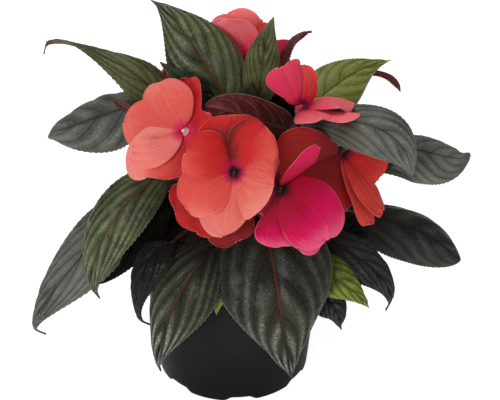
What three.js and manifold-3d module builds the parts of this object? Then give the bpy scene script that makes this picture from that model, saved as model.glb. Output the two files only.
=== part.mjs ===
// A potted New Guinea impatiens: a black nursery pot of soil with a bushy flowering plant.
// Millimetres, +Z up. The origin is the centre of the pot's base, on the surface it stands on,
// and the front of the plant faces -Y.
import * as THREE from "three";
import Module from "manifold-3d";
import { mergeVertices } from "three/addons/utils/BufferGeometryUtils.js";

const wasm = await Module();
wasm.setup();

// Driving dimensions of the pot
const POT_SIDES = 26;
const BASE_RADIUS = 48;
const WALL_TOP_RADIUS = 57;
const LIP_RADIUS = 60;
const LIP_BOTTOM = 90;
const POT_HEIGHT = 100;
const WALL = 1.5;
const FLOOR_LIFT = 4;
const FOOT_INNER_RADIUS = 41.5;
const CENTRE_DISC_RADIUS = 26;
const CHAMFER = 1;
const DRAIN_COUNT = 7;
const DRAIN_RADIUS = 4;
const DRAIN_CIRCLE_RADIUS = 34.5;
const NOTCH_WIDTH = 22;
const NOTCH_SLOPE = 5;
const NOTCH_DEPTH = 14;
const FRONT_NOTCH_DEGREES = -84;

// Driving dimensions of the soil
const SOIL_SIDES = 16;
const SOIL_TOP = 86;
const SOIL_MOUND = 3;
const CLEARANCE = 0.3;
const HOLE_DEPTH = 20;
const HOLE_SIDES = 6;

// Driving dimensions of the plant
const STEM_SIDES = 6;
const STEM_STEPS = 4;
const FOOT_SHARE = 0.8;
const PETIOLE_RADIUS = 1.5;
const PETIOLE_SIDES = 3;
const PETIOLE_STEPS = 3;
const PETIOLE_REACH = 0.06;
const PETIOLE_RISE = 2;
const PEDICEL_RADIUS = 1.2;
const PEDICEL_SIDES = 4;
const PEDICEL_STEPS = 4;
const PEDICEL_SWAY = [0, 0, 3];
const LEAF_THICKNESS = 0.8;
const PETAL_THICKNESS = 0.7;
const KNOB_LENGTH = 8;
const KNOB_RADIUS = 3.4;
const KNOB_NECK_RADIUS = 1.6;
const KNOB_SIDES = 5;
const PETAL_RING_RADIUS = 2;
const PETAL_ROOT_DEPTH = 1.5;
const NOTCH_SPREAD = 0.35;
const NOTCH_START = 0.6;
const FAR_PETAL_ROWS = 3;

const COLOURS = {
  pot: { color: 0x1b1b1d, roughness: 0.45 },
  soil: { color: 0x2c221b, roughness: 0.95 },
  foliage: { color: 0x35423a, roughness: 0.4 },
  coral: { color: 0xf2604c, roughness: 0.55 },
  red: { color: 0xd8362a, roughness: 0.55 },
  magenta: { color: 0xd8205c, roughness: 0.55 },
};

const degrees = THREE.MathUtils.degToRad;
const vector = (list) => new THREE.Vector3(...list);

// Joining and cutting

// A closed geometry as a solid.
function toSolid(geometry) {
  const bare = geometry.clone();
  bare.deleteAttribute("normal");
  bare.deleteAttribute("uv");
  const merged = mergeVertices(bare, 1e-4);
  return new wasm.Manifold(
    new wasm.Mesh({
      numProp: 3,
      vertProperties: merged.attributes.position.array,
      triVerts: new Uint32Array(merged.index.array),
    }),
  );
}

function toGeometry(solid) {
  const mesh = solid.getMesh();
  const geometry = new THREE.BufferGeometry();
  geometry.setAttribute("position", new THREE.BufferAttribute(mesh.vertProperties, 3));
  geometry.setIndex(new THREE.BufferAttribute(mesh.triVerts, 1));
  geometry.computeVertexNormals();
  return geometry;
}

// Everything grown together as one skin: the largest body, with no sealed hollow left inside.
function grownTogether(geometries) {
  const joined = geometries.map(toSolid).reduce((whole, piece) => whole.add(piece));
  const bodies = joined.decompose();
  return bodies.reduce((most, body) => (body.volume() > most.volume() ? body : most));
}

function namedMesh(name, geometry, look) {
  const material = new THREE.MeshStandardMaterial({
    color: look.color,
    roughness: look.roughness,
    metalness: 0,
  });
  const mesh = new THREE.Mesh(geometry, material);
  mesh.name = name;
  return mesh;
}

// Turned and swept shapes

function lathe(profile, sides) {
  const points = profile.map(([radius, height]) => new THREE.Vector2(radius, height));
  const geometry = new THREE.LatheGeometry(points, sides);
  geometry.rotateX(Math.PI / 2);
  return geometry;
}

function polygon(radius, sides) {
  const corners = [];
  for (let i = 0; i < sides; i++) {
    const angle = (2 * Math.PI * i) / sides;
    corners.push(new THREE.Vector2(radius * Math.cos(angle), radius * Math.sin(angle)));
  }
  return new THREE.Shape(corners);
}

// A stalk of constant thickness along a smooth curve through some points.
function stalk(points, radius, sides, steps) {
  const path = new THREE.CatmullRomCurve3(points);
  return new THREE.ExtrudeGeometry(polygon(radius, sides), {
    extrudePath: path,
    steps,
    bevelEnabled: false,
  });
}

// Pot

// Wall radius at a height, on the outside below the lip.
function outerRadius(height) {
  return BASE_RADIUS + ((WALL_TOP_RADIUS - BASE_RADIUS) * height) / LIP_BOTTOM;
}

function drainHole(index) {
  const angle = degrees(FRONT_NOTCH_DEGREES) + (2 * Math.PI * (index + 0.5)) / DRAIN_COUNT;
  const hole = new THREE.CylinderGeometry(DRAIN_RADIUS, DRAIN_RADIUS, 4 * FLOOR_LIFT, 6);
  hole.rotateX(Math.PI / 2);
  hole.translate(DRAIN_CIRCLE_RADIUS * Math.cos(angle), DRAIN_CIRCLE_RADIUS * Math.sin(angle), 0);
  return hole;
}

// A sloping-sided gap under the foot ring, which lets water out.
function footNotch(index) {
  const angle = degrees(FRONT_NOTCH_DEGREES) + (2 * Math.PI * index) / DRAIN_COUNT;
  const half = NOTCH_WIDTH / 2;
  const outline = new THREE.Shape([
    new THREE.Vector2(-half - NOTCH_SLOPE, -FLOOR_LIFT),
    new THREE.Vector2(half + NOTCH_SLOPE, -FLOOR_LIFT),
    new THREE.Vector2(half - NOTCH_SLOPE, FLOOR_LIFT - WALL / 2),
    new THREE.Vector2(-half + NOTCH_SLOPE, FLOOR_LIFT - WALL / 2),
  ]);
  const notch = new THREE.ExtrudeGeometry(outline, { depth: NOTCH_DEPTH, bevelEnabled: false });
  notch.rotateX(Math.PI / 2);
  notch.rotateZ(Math.PI / 2);
  notch.translate(FOOT_INNER_RADIUS - NOTCH_DEPTH / 4, 0, 0);
  notch.rotateZ(angle);
  return notch;
}

function potGeometry() {
  const floorTop = FLOOR_LIFT + WALL;
  const innerTop = WALL_TOP_RADIUS - WALL;
  const profile = [
    [0, 0],
    [CENTRE_DISC_RADIUS, 0],
    [CENTRE_DISC_RADIUS + 3, FLOOR_LIFT],
    [FOOT_INNER_RADIUS - 2, FLOOR_LIFT],
    [FOOT_INNER_RADIUS, 0],
    [BASE_RADIUS - CHAMFER, 0],
    [BASE_RADIUS, CHAMFER],
    [WALL_TOP_RADIUS, LIP_BOTTOM - 2],
    [LIP_RADIUS - 0.5, LIP_BOTTOM],
    [LIP_RADIUS, POT_HEIGHT - CHAMFER],
    [LIP_RADIUS - CHAMFER, POT_HEIGHT],
    [LIP_RADIUS - WALL, POT_HEIGHT],
    [LIP_RADIUS - WALL - 0.8, LIP_BOTTOM + 1],
    [innerTop, LIP_BOTTOM - 3],
    [outerRadius(floorTop) - WALL, floorTop],
    [CENTRE_DISC_RADIUS + 2, floorTop],
    [CENTRE_DISC_RADIUS - 1, WALL],
    [0, WALL],
  ];
  let pot = toSolid(lathe(profile, POT_SIDES));
  for (let i = 0; i < DRAIN_COUNT; i++) {
    pot = pot.subtract(toSolid(drainHole(i)));
    pot = pot.subtract(toSolid(footNotch(i)));
  }
  return toGeometry(pot);
}

// Soil

function stemHole(foot, radius) {
  const holeRadius = (radius + CLEARANCE) / Math.cos(Math.PI / HOLE_SIDES);
  const length = HOLE_DEPTH + 2 * SOIL_MOUND;
  const hole = new THREE.CylinderGeometry(holeRadius, holeRadius, length, HOLE_SIDES);
  hole.rotateX(Math.PI / 2);
  hole.translate(foot[0], foot[1], SOIL_TOP - HOLE_DEPTH + length / 2);
  return hole;
}

function soilGeometry(stems) {
  const floorTop = FLOOR_LIFT + WALL + CLEARANCE;
  const innerTop = WALL_TOP_RADIUS - WALL - CLEARANCE;
  const profile = [
    [0, floorTop],
    [outerRadius(floorTop) - WALL - 2 * CLEARANCE, floorTop],
    [innerTop - 0.6, SOIL_TOP - 2],
    [innerTop - 4, SOIL_TOP],
    [30, SOIL_TOP + SOIL_MOUND * 0.6],
    [12, SOIL_TOP + SOIL_MOUND],
    [0, SOIL_TOP + SOIL_MOUND],
  ];
  let soil = toSolid(lathe(profile, SOIL_SIDES));
  for (const stem of stems) {
    soil = soil.subtract(toSolid(stemHole(stem.path[0], FOOT_SHARE * stem.radius)));
  }
  return toGeometry(soil);
}

// Leaves and petals

// The cubic curve that passes through four points evenly along it.
function curveThrough(points) {
  const [a, b, c, d] = points.map(vector);
  const first = a.clone().multiplyScalar(-5).addScaledVector(b, 18);
  first.addScaledVector(c, -9).addScaledVector(d, 2).divideScalar(6);
  const second = a.clone().multiplyScalar(2).addScaledVector(b, -9);
  second.addScaledVector(c, 18).addScaledVector(d, -5).divideScalar(6);
  return new THREE.CubicBezierCurve3(a, first, second, d);
}

// Half the width of a blade along its length, 1 at its widest place.
function outline(t, widest, taper) {
  const rise = Math.pow(t / widest, widest);
  const fall = Math.pow((1 - t) / (1 - widest), 1 - widest);
  return Math.pow(rise * fall, taper);
}

// A point of a blade's middle surface: u is -1 and 1 at the margins, t is 0 at the base.
// The halves fold up from the midrib by one angle and bend back down by another, and the
// margin waves.
function surfacePoint(blade, u, t) {
  const width = outline(t, blade.widest, blade.taper);
  const near = Math.exp(-(((u * width) / NOTCH_SPREAD) ** 2));
  const dip = blade.notch * THREE.MathUtils.smoothstep(t, NOTCH_START, 1) * near;
  const centre = blade.curve.getPoint(t - dip);
  const along = blade.curve.getTangent(t);
  const face = blade.face.clone().lerp(blade.faceTip, t);
  const side = along.clone().cross(face).normalize();
  const up = side.clone().cross(along);
  const reach = blade.half * width;
  const across = (reach * Math.sin(blade.arch * Math.abs(u))) / blade.arch;
  const drop = (reach * (1 - Math.cos(blade.arch * u))) / blade.arch;
  const sideways = across * Math.cos(blade.fold) + drop * Math.sin(blade.fold);
  const lift = across * Math.sin(blade.fold) - drop * Math.cos(blade.fold);
  const turn = 2 * Math.PI * blade.waves * t + (u < 0 ? blade.phase : blade.phase + 2);
  const wave = blade.wave * u * u * t * Math.sin(turn);
  centre.addScaledVector(side, Math.sign(u) * sideways);
  return centre.addScaledVector(up, lift + wave);
}

function surfaceNormal(blade, u, t) {
  const step = 0.02;
  const middle = THREE.MathUtils.clamp(t, 0.05, 0.95);
  const alongStep = surfacePoint(blade, u, middle + step).sub(surfacePoint(blade, u, middle - step));
  const acrossStep = surfacePoint(blade, u + step, middle).sub(surfacePoint(blade, u - step, middle));
  return acrossStep.cross(alongStep).normalize();
}

// A blade as one closed skin. Its rows run from base to tip, each margin has a tooth between
// two rows, and both faces are split into the same triangles.
function bladeGeometry(blade) {
  const { rows, columns } = blade;
  const toothed = blade.tooth > 0;
  const places = [];
  const indexOf = new Map();
  const place = (row, column) => {
    const inner = row > 0 && row < rows;
    const key = inner ? row + "," + column : "" + row;
    if (!indexOf.has(key)) {
      const t = blade.tipDense ? Math.sin((Math.PI / 2) * (row / rows)) : row / rows;
      const between = row % 1 !== 0;
      const reach = between ? 1 + blade.tooth : 1;
      const u = inner ? ((2 * column) / columns - 1) * reach : 0;
      indexOf.set(key, places.length);
      places.push([u, t]);
    }
    return indexOf.get(key);
  };

  const faces = [];
  const addFan = (corners) => {
    const ring = corners.filter((corner, i) => corner !== corners[(i + 1) % corners.length]);
    for (let i = 1; i + 1 < ring.length; i++) {
      faces.push([ring[0], ring[i], ring[i + 1]]);
    }
  };
  const margins = [];
  for (let row = 0; row < rows; row++) {
    const next = row + 1;
    const middle = row + 0.5;
    for (let column = 0; column < columns; column++) {
      const right = column + 1;
      const leftTooth = toothed && column === 0 ? [place(middle, 0)] : [];
      const rightTooth = toothed && right === columns ? [place(middle, columns)] : [];
      const bottom = [place(row, column), place(row, right)];
      const top = [place(next, right), place(next, column)];
      if (column === 0) {
        addFan([bottom[1], ...top, ...leftTooth, bottom[0]]);
      } else {
        addFan([top[1], ...bottom, ...rightTooth, top[0]]);
      }
    }
    const steps = toothed ? [row, middle, next] : [row, next];
    for (let i = 1; i < steps.length; i++) {
      margins.push([place(steps[i - 1], columns), place(steps[i], columns)]);
      margins.push([place(steps[i], 0), place(steps[i - 1], 0)]);
    }
  }

  const count = places.length;
  const positions = new Float32Array(6 * count);
  places.forEach(([u, t], i) => {
    const point = surfacePoint(blade, u, t);
    const offset = surfaceNormal(blade, u, t).multiplyScalar(blade.thickness / 2);
    point.clone().add(offset).toArray(positions, 3 * i);
    point.clone().sub(offset).toArray(positions, 3 * (count + i));
  });
  const index = [];
  for (const [a, b, c] of faces) {
    index.push(a, b, c, count + a, count + c, count + b);
  }
  for (const [a, b] of margins) {
    index.push(b, a, count + a, b, count + a, count + b);
  }
  const geometry = new THREE.BufferGeometry();
  geometry.setAttribute("position", new THREE.BufferAttribute(positions, 3));
  geometry.setIndex(index);
  return geometry;
}

const LEAF = {
  rows: 5,
  columns: 4,
  thickness: LEAF_THICKNESS,
  widest: 0.34,
  taper: 1.65,
  fold: 8,
  arch: 45,
  wave: 1.2,
  waves: 1.7,
  phase: 0,
  notch: 0,
  tooth: 0.06,
  tipDense: false,
};

const PETAL = {
  rows: 4,
  columns: 4,
  thickness: PETAL_THICKNESS,
  widest: 0.64,
  taper: 1.2,
  fold: 0,
  arch: 20,
  wave: 1.5,
  waves: 0.8,
  phase: 0,
  notch: 0.07,
  tooth: 0,
  tipDense: true,
};

// Fills a short description of a blade out to all that its surface needs.
function completed(kind, shape) {
  const blade = { ...kind, ...shape };
  blade.curve = curveThrough(blade.spine);
  blade.faceTip = vector(blade.faceTip ?? blade.face).normalize();
  blade.face = vector(blade.face).normalize();
  blade.fold = degrees(blade.fold);
  blade.arch = degrees(Math.max(blade.arch, 1));
  return blade;
}

// Leafy stems

// A leaf's stalk, from its place on the stem into the base of its blade.
function petiole(stemCurve, leaf) {
  const root = stemCurve.getPoint(leaf.at);
  const base = leaf.curve.getPoint(0);
  const inside = leaf.curve.getPoint(PETIOLE_REACH);
  const middle = root.clone().add(base).multiplyScalar(0.5);
  middle.z += PETIOLE_RISE;
  return stalk([root, middle, base, inside], PETIOLE_RADIUS, PETIOLE_SIDES, PETIOLE_STEPS);
}

// A flower stalk, which ends just behind the knob of its bloom.
function pedicel(stemCurve, bloom) {
  const root = stemCurve.getPoint(bloom.at);
  const facing = vector(bloom.facing).normalize();
  const end = vector(bloom.eye).addScaledVector(facing, -KNOB_LENGTH - CLEARANCE);
  const before = end.clone().addScaledVector(facing, -6);
  const middle = root.clone().lerp(before, 0.55).add(vector(bloom.sway ?? PEDICEL_SWAY));
  return stalk([root, middle, before, end], PEDICEL_RADIUS, PEDICEL_SIDES, PEDICEL_STEPS);
}

// The straight foot of a stem, which is a little thinner and stands in its hole in the soil.
function stemFoot(stem) {
  const bottom = SOIL_TOP - HOLE_DEPTH + CLEARANCE;
  const length = stem.path[0][2] + 1 - bottom;
  const radius = FOOT_SHARE * stem.radius;
  const foot = new THREE.CylinderGeometry(radius, radius, length, STEM_SIDES);
  foot.rotateX(Math.PI / 2);
  foot.translate(stem.path[0][0], stem.path[0][1], bottom + length / 2);
  return foot;
}

function leafyStem(stem) {
  const curve = new THREE.CatmullRomCurve3(stem.path.map(vector));
  const pieces = [stemFoot(stem), stalk(curve.points, stem.radius, STEM_SIDES, STEM_STEPS)];
  for (const shape of stem.leaves) {
    const leaf = completed(LEAF, shape);
    pieces.push(bladeGeometry(leaf));
    pieces.push(petiole(curve, leaf));
  }
  for (const bloom of BLOOMS.filter((one) => one.stem === stem.name)) {
    pieces.push(pedicel(curve, bloom));
  }
  return grownTogether(pieces);
}

// Blooms

// The knob behind a bloom, on its axis from the flower stalk to the throat.
function knob(eye, facing) {
  const geometry = lathe(
    [
      [0, 0],
      [KNOB_NECK_RADIUS, 0],
      [KNOB_RADIUS - 0.4, KNOB_LENGTH * 0.4],
      [KNOB_RADIUS, KNOB_LENGTH],
      [0, KNOB_LENGTH + 1],
    ],
    KNOB_SIDES,
  );
  const turn = new THREE.Quaternion().setFromUnitVectors(new THREE.Vector3(0, 0, 1), facing);
  geometry.applyQuaternion(turn);
  const back = eye.clone().addScaledVector(facing, -KNOB_LENGTH);
  geometry.translate(back.x, back.y, back.z);
  return geometry;
}

// A petal rises from the throat, bows forward along the bloom's facing, bends to one side and
// ends at its tip.
function petalBlade(bloom, petal, index) {
  const eye = vector(bloom.eye);
  const facing = vector(bloom.facing).normalize();
  const tip = vector(petal.tip);
  const outward = tip.clone().sub(eye).normalize();
  const side = outward.clone().cross(facing).normalize();
  const base = eye.clone().addScaledVector(facing, -PETAL_ROOT_DEPTH);
  base.addScaledVector(outward, PETAL_RING_RADIUS);
  const spine = [0, 1 / 3, 2 / 3, 1].map((share) => {
    const swell = 4 * share * (1 - share);
    const point = base.clone().lerp(tip, share);
    point.addScaledVector(facing, (petal.bow ?? 3) * swell);
    return point.addScaledVector(side, (petal.bend ?? 0) * swell).toArray();
  });
  return completed(PETAL, {
    spine,
    face: bloom.facing,
    phase: 1.9 * index,
    ...petal,
  });
}

function bloomSolid(bloom) {
  const eye = vector(bloom.eye);
  const facing = vector(bloom.facing).normalize();
  const pieces = [knob(eye, facing)];
  bloom.petals.forEach((petal, index) => {
    pieces.push(bladeGeometry(petalBlade(bloom, petal, index)));
  });
  return grownTogether(pieces);
}

// Five petals set evenly round an eye: one at the top, two at the sides and two below.
function openPetals(eye, facing, size) {
  const axis = vector(facing).normalize();
  const up = new THREE.Vector3(0, 0, 1).projectOnPlane(axis).normalize();
  const right = up.clone().cross(axis);
  const pattern = [
    { turn: 90, length: 0.95, half: 0.62 },
    { turn: 152, length: 0.92, half: 0.5 },
    { turn: 28, length: 0.92, half: 0.5 },
    { turn: 232, length: 1.05, half: 0.58 },
    { turn: 308, length: 1.05, half: 0.58 },
  ];
  return pattern.map(({ turn, length, half }) => {
    const angle = degrees(turn);
    const tip = vector(eye);
    tip.addScaledVector(right, Math.cos(angle) * length * size);
    tip.addScaledVector(up, Math.sin(angle) * length * size);
    return { tip: tip.toArray(), half: half * size, rows: FAR_PETAL_ROWS };
  });
}

const BLOOMS = [
  {
    name: "bloom_front",
    stem: "stem_front",
    at: 0.96,
    sway: [8, 0, 4],
    look: COLOURS.coral,
    eye: [2, -58, 175],
    facing: [0, -0.85, 0.53],
    petals: [
      { tip: [1, -40, 205], half: 22, bow: 1, widest: 0.5, taper: 1.3 },
      { tip: [-27, -54, 187], half: 17.5, bow: 4, widest: 0.54, taper: 1.1 },
      { tip: [22, -51, 202], half: 15.5, bow: 4, bend: -1, widest: 0.54, taper: 1.3 },
      { tip: [26, -66, 171], half: 24, bow: 5, widest: 0.52, taper: 1.3 },
      { tip: [-4, -77, 141], half: 15, bow: 2, bend: 3, widest: 0.5, taper: 1.3 },
      { tip: [-28, -69, 156], half: 16, bow: 5, bend: 1.5, widest: 0.5, taper: 1.1 },
    ],
  },
  {
    name: "bloom_left",
    stem: "stem_left",
    at: 0.96,
    look: COLOURS.coral,
    eye: [-28, -36, 189],
    facing: [-0.5, -0.74, 0.45],
    petals: [
      { tip: [-42, -14, 212], half: 17.5, bow: 2, bend: -2.5, widest: 0.5, taper: 0.8 },
      { tip: [-65, -16, 185], half: 17.5, bow: 2, bend: -1.5, widest: 0.5, taper: 1.25 },
      {
        tip: [-47, -51, 165],
        half: 20,
        bow: 1,
        bend: 5,
        faceTip: [-0.3, -0.82, 0.45],
        widest: 0.64,
        taper: 0.8,
        notch: 0.05,
      },
      { tip: [-59, -44, 182], half: 9, bow: 5, bend: -7, widest: 0.6, taper: 1 },
      { tip: [-16, -27, 199], half: 13, bow: 0, widest: 0.5, taper: 0.8 },
      { tip: [-25, -5, 210], half: 10, bow: 0, widest: 0.45, taper: 1.4 },
      { tip: [-27, -46, 173], half: 15, bow: 0, widest: 0.4, taper: 0.6 },
    ],
  },
  {
    name: "bloom_front_low",
    stem: "stem_left_low",
    at: 0.96,
    look: COLOURS.red,
    eye: [-11, -45, 151],
    facing: [-0.1, -0.85, 0.5],
    petals: [
      { tip: [-35, -52, 146], half: 14, bow: 2 },
      { tip: [-22, -58, 133], half: 14, bow: 2 },
      { tip: [5, -62, 128], half: 15, bow: 2 },
      { tip: [13, -55, 140], half: 12, bow: 1 },
      { tip: [-14, -36, 166], half: 12, bow: 1 },
    ],
  },
  {
    name: "bloom_right_front",
    stem: "stem_right_low",
    at: 0.97,
    look: COLOURS.magenta,
    eye: [29, -58, 164],
    facing: [0.46, -0.81, 0.36],
    petals: [
      { tip: [56, -66, 129], half: 20.5, bow: 6, bend: -3.5, widest: 0.5, taper: 0.75, notch: 0.1 },
      { tip: [34, -72, 129], half: 24, bow: 1, bend: -4, widest: 0.7, taper: 0.7, notch: 0.1 },
      { tip: [51, -54, 190], half: 11, bow: 3, face: [0.75, -0.55, -0.2], taper: 0.8 },
      { tip: [20, -58, 178], half: 10, bow: 0, face: [0.8, -0.5, 0.1] },
      { tip: [17, -68, 152], half: 10, bow: 0, face: [0.8, -0.5, 0.1] },
    ],
  },
  {
    name: "bloom_right",
    stem: "stem_right_low",
    at: 0.9,
    look: COLOURS.red,
    eye: [67, -16, 164],
    facing: [0.8, -0.5, 0.3],
    petals: [
      { tip: [88, -18, 143], half: 16, bow: 2, face: [0.35, -0.85, 0.3], widest: 0.62, taper: 1 },
      { tip: [92, -24, 125], half: 9.5, bow: 3, bend: 3, widest: 0.6, taper: 1.2 },
      { tip: [83, -33, 119], half: 11, bow: 1, bend: -3, widest: 0.5, taper: 1.1 },
      { tip: [53, -38, 139], half: 21, bow: 0, face: [0.2, -0.95, 0.1], widest: 0.55, taper: 0.8 },
      { tip: [29, -37, 169], half: 18, bow: 0, face: [0.2, -0.95, 0], widest: 0.74, taper: 0.9 },
    ],
  },
  {
    name: "bloom_right_high",
    stem: "stem_right",
    at: 0.96,
    look: COLOURS.magenta,
    eye: [41, -20, 197],
    facing: [0.3, -0.3, 0.9],
    petals: [
      { tip: [33, -24, 228], half: 14, bow: 0, bend: 3, face: [0.2, -0.8, 0.5], taper: 1.05, notch: 0.03 },
      { tip: [43, -14, 220], half: 9, bow: 0, face: [0.4, -0.8, 0.3], widest: 0.4, taper: 0.8 },
      { tip: [74, -14, 192], half: 18, bow: 3, bend: -5, face: [0, 0.3, 0.95], widest: 0.5 },
      { tip: [74, -28, 197], half: 9, bow: 1, bend: 4, face: [0.1, 0.25, 0.96], taper: 0.8 },
      { tip: [54, -38, 198], half: 12, bow: 1 },
    ],
  },
  {
    name: "bloom_top",
    stem: "stem_back_left",
    at: 0.96,
    look: COLOURS.magenta,
    eye: [9, 43, 193],
    facing: [0, 0.3, 0.95],
    petals: [
      { tip: [-4, 35, 229], half: 17, bow: 0, face: [0, 1, 0.2], widest: 0.56, bend: 2 },
      { tip: [-4, 59, 221], half: 18, bow: 0, face: [0, -1, 0.2], widest: 0.6, taper: 1.3 },
      { tip: [-13, 48, 219], half: 14, bow: 0, face: [1, 0, 0.3], rows: 3 },
      { tip: [19, 52, 218], half: 12.5, bow: 0, face: [-0.8, -0.3, 0.4], taper: 1.1 },
      { tip: [36, 42, 207], half: 8, bow: 1, face: [-0.2, -0.4, 0.9] },
    ],
  },
  {
    name: "bloom_back_left",
    stem: "stem_back_left",
    at: 0.9,
    look: COLOURS.coral,
    eye: [-26, 76, 171],
    facing: [-0.3, 0.75, 0.6],
    petals: openPetals([-26, 76, 171], [-0.3, 0.75, 0.6], 27),
  },
  {
    name: "bloom_back_right",
    stem: "stem_back_right",
    at: 0.95,
    look: COLOURS.coral,
    eye: [44, 75, 163],
    facing: [0.45, 0.7, 0.55],
    petals: openPetals([44, 75, 163], [0.45, 0.7, 0.55], 25),
  },
];

const STEMS = [
  {
    name: "stem_centre",
    radius: 3.4,
    path: [[0, 7, 90], [1, 7, 100], [4, 9, 140], [3, 9, 175], [3, 9, 186]],
    leaves: [
      {
        at: 0.97,
        spine: [[-1, 6, 176], [-14, 16, 202], [-29, 28, 222], [-47, 40, 236]],
        face: [0.1, -0.8, 0.6],
        half: 23.5,
        fold: 12,
        rows: 7,
        widest: 0.33,
        taper: 2,
      },
      {
        at: 0.92,
        spine: [[-10, 6, 188], [-22, 4, 196], [-32, 5, 203], [-42, 7, 212]],
        face: [0.2, -0.6, 0.75],
        half: 8,
        columns: 2,
      },
      {
        at: 0.96,
        spine: [[15, 11, 180], [18, 12, 204], [20, 12, 221], [25, 13, 238]],
        face: [0, -1, 0],
        half: 11,
        rows: 6,
        widest: 0.3,
        taper: 1.4,
        fold: 18,
      },
      {
        at: 0.95,
        spine: [[22, 15, 188], [29, 18, 206], [36, 24, 217], [48, 30, 221]],
        face: [-0.9, -0.1, 0.45],
        half: 8.5,
        columns: 2,
        widest: 0.38,
      },
      {
        at: 0.98,
        spine: [[8, 6, 184], [9, 6, 189], [10, 6, 193], [11, 7, 198]],
        face: [0, -0.9, 0.4],
        half: 6,
        rows: 3,
        columns: 2,
        tooth: 0,
      },
      {
        at: 0.86,
        spine: [[12, 46, 170], [12, 58, 170], [12, 72, 162], [12, 86, 144]],
        face: [0, 0.3, 0.95],
        half: 14,
        rows: 4,
        tooth: 0,
      },
      {
        at: 0.75,
        spine: [[12, 16, 150], [22, 22, 162], [34, 28, 172], [46, 32, 176]],
        face: [0, -0.85, 0.5],
        half: 15,
        rows: 4,
        tooth: 0,
      },
      {
        at: 0.6,
        spine: [[6, 22, 142], [8, 42, 142], [10, 60, 132], [10, 74, 110]],
        face: [0, 0.4, 0.9],
        half: 12,
        rows: 4,
        tooth: 0,
      },
    ],
  },
  {
    name: "stem_left",
    radius: 3.2,
    path: [[-14, 8, 90], [-15, 8, 100], [-26, 9, 130], [-39, 10, 162], [-43, 11, 174]],
    leaves: [
      {
        at: 0.97,
        spine: [[-46, 18, 181], [-63, 14, 204], [-94, 10, 222], [-109, 5, 221]],
        face: [0.3, -0.9, 0.5],
        faceTip: [0.1, 0.9, 0.7],
        half: 14,
        rows: 7,
        widest: 0.18,
        taper: 2.8,
      },
      {
        at: 0.94,
        spine: [[-55, 10, 175], [-61, 8, 181], [-85, 5, 174], [-111, 0, 167]],
        face: [0, -0.4, 0.92],
        half: 24,
        arch: 68,
        rows: 7,
        widest: 0.57,
        taper: 2.4,
      },
      {
        at: 0.96,
        spine: [[-46, 2, 178], [-54, 1, 181], [-63, 0, 186], [-71, 0, 191]],
        face: [0.3, 0.8, 0.5],
        half: 6,
        columns: 2,
      },
      {
        at: 0.75,
        spine: [[-44, 24, 150], [-60, 38, 154], [-76, 52, 148], [-88, 60, 130]],
        face: [-0.3, 0.3, 0.9],
        half: 15,
        rows: 4,
      },
      {
        at: 0.5,
        spine: [[-33, 16, 124], [-48, 22, 119], [-62, 27, 104], [-70, 30, 78]],
        face: [-0.6, 0.2, 0.75],
        half: 14,
        rows: 4,
        tooth: 0,
      },
    ],
  },
  {
    name: "stem_left_low",
    radius: 3.2,
    path: [[-15, -9, 90], [-16, -10, 98], [-20, -17, 120], [-28, -25, 148], [-30, -27, 156]],
    leaves: [
      {
        at: 0.97,
        spine: [[-32, -30, 159], [-62, -50, 148], [-80, -57, 116], [-81, -49, 82]],
        face: [-0.25, -0.65, 0.65],
        half: 18,
        rows: 6,
        widest: 0.37,
        taper: 2.3,
      },
      {
        at: 0.88,
        spine: [[-40, -24, 144], [-55, -29, 122], [-70, -32, 98], [-83, -31, 78]],
        face: [-0.3, -0.7, 0.6],
        half: 15,
      },
      {
        at: 0.8,
        spine: [[-63, -18, 127], [-88, -26, 101], [-115, -25, 63], [-125, -20, 33]],
        face: [-0.4, -0.7, 0.6],
        half: 21,
        rows: 7,
        widest: 0.3,
        taper: 2.4,
      },
      {
        at: 0.4,
        spine: [[-36, -44, 117], [-48, -55, 114], [-56, -61, 93], [-53, -59, 68]],
        face: [-0.6, -0.5, 0.6],
        half: 14,
        widest: 0.3,
        taper: 2,
      },
    ],
  },
  {
    name: "stem_front",
    radius: 3.4,
    path: [[2, -17, 90], [2, -18, 98], [3, -26, 116], [4, -35, 137]],
    leaves: [
      {
        at: 0.85,
        spine: [[-2, -42, 120], [-24, -68, 110], [-39, -74, 78], [-45, -70, 42]],
        face: [-0.3, -0.75, 0.6],
        half: 22,
        rows: 6,
        widest: 0.4,
        taper: 2.6,
      },
      {
        at: 0.97,
        spine: [[19, -48, 137], [27, -77, 106], [31, -85, 80], [36, -82, 45]],
        face: [0.05, -0.7, 0.7],
        half: 37,
        rows: 8,
        widest: 0.2,
        taper: 1.35,
      },
      {
        at: 0.5,
        spine: [[2, -54, 122], [-3, -66, 109], [-7, -71, 98], [-9, -72, 85]],
        face: [0, -0.7, 0.7],
        half: 7,
        columns: 2,
      },
    ],
  },
  {
    name: "stem_right",
    radius: 3.2,
    path: [[14, 8, 90], [15, 8, 100], [27, 8, 130], [38, 7, 162], [41, 6, 174]],
    leaves: [
      {
        at: 0.96,
        spine: [[48, 15, 178], [63, 28, 185], [79, 39, 190], [98, 46, 193]],
        face: [-0.1, -0.7, 0.7],
        half: 17.5,
        rows: 6,
        taper: 2.6,
      },
      {
        at: 0.92,
        spine: [[64, 50, 174], [78, 52, 182], [96, 51, 180], [105, 48, 170]],
        face: [0.1, 0.1, 1],
        half: 5,
        widest: 0.5,
        columns: 2,
      },
      {
        at: 0.97,
        spine: [[42, -5, 174], [65, -13, 183], [91, -26, 182], [107, -31, 156]],
        face: [0.1, -0.55, 0.8],
        half: 18,
        rows: 6,
        widest: 0.56,
        taper: 2.2,
      },
      {
        at: 0.85,
        spine: [[80, 5, 142], [106, 5, 153], [124, 5, 150], [144, 5, 147]],
        face: [0, -0.36, 0.93],
        half: 22,
        rows: 6,
        arch: 74,
        widest: 0.52,
        taper: 1.2,
      },
      {
        at: 0.94,
        spine: [[33, -3, 172], [18, -12, 183], [3, -18, 192], [-15, -19, 197]],
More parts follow.
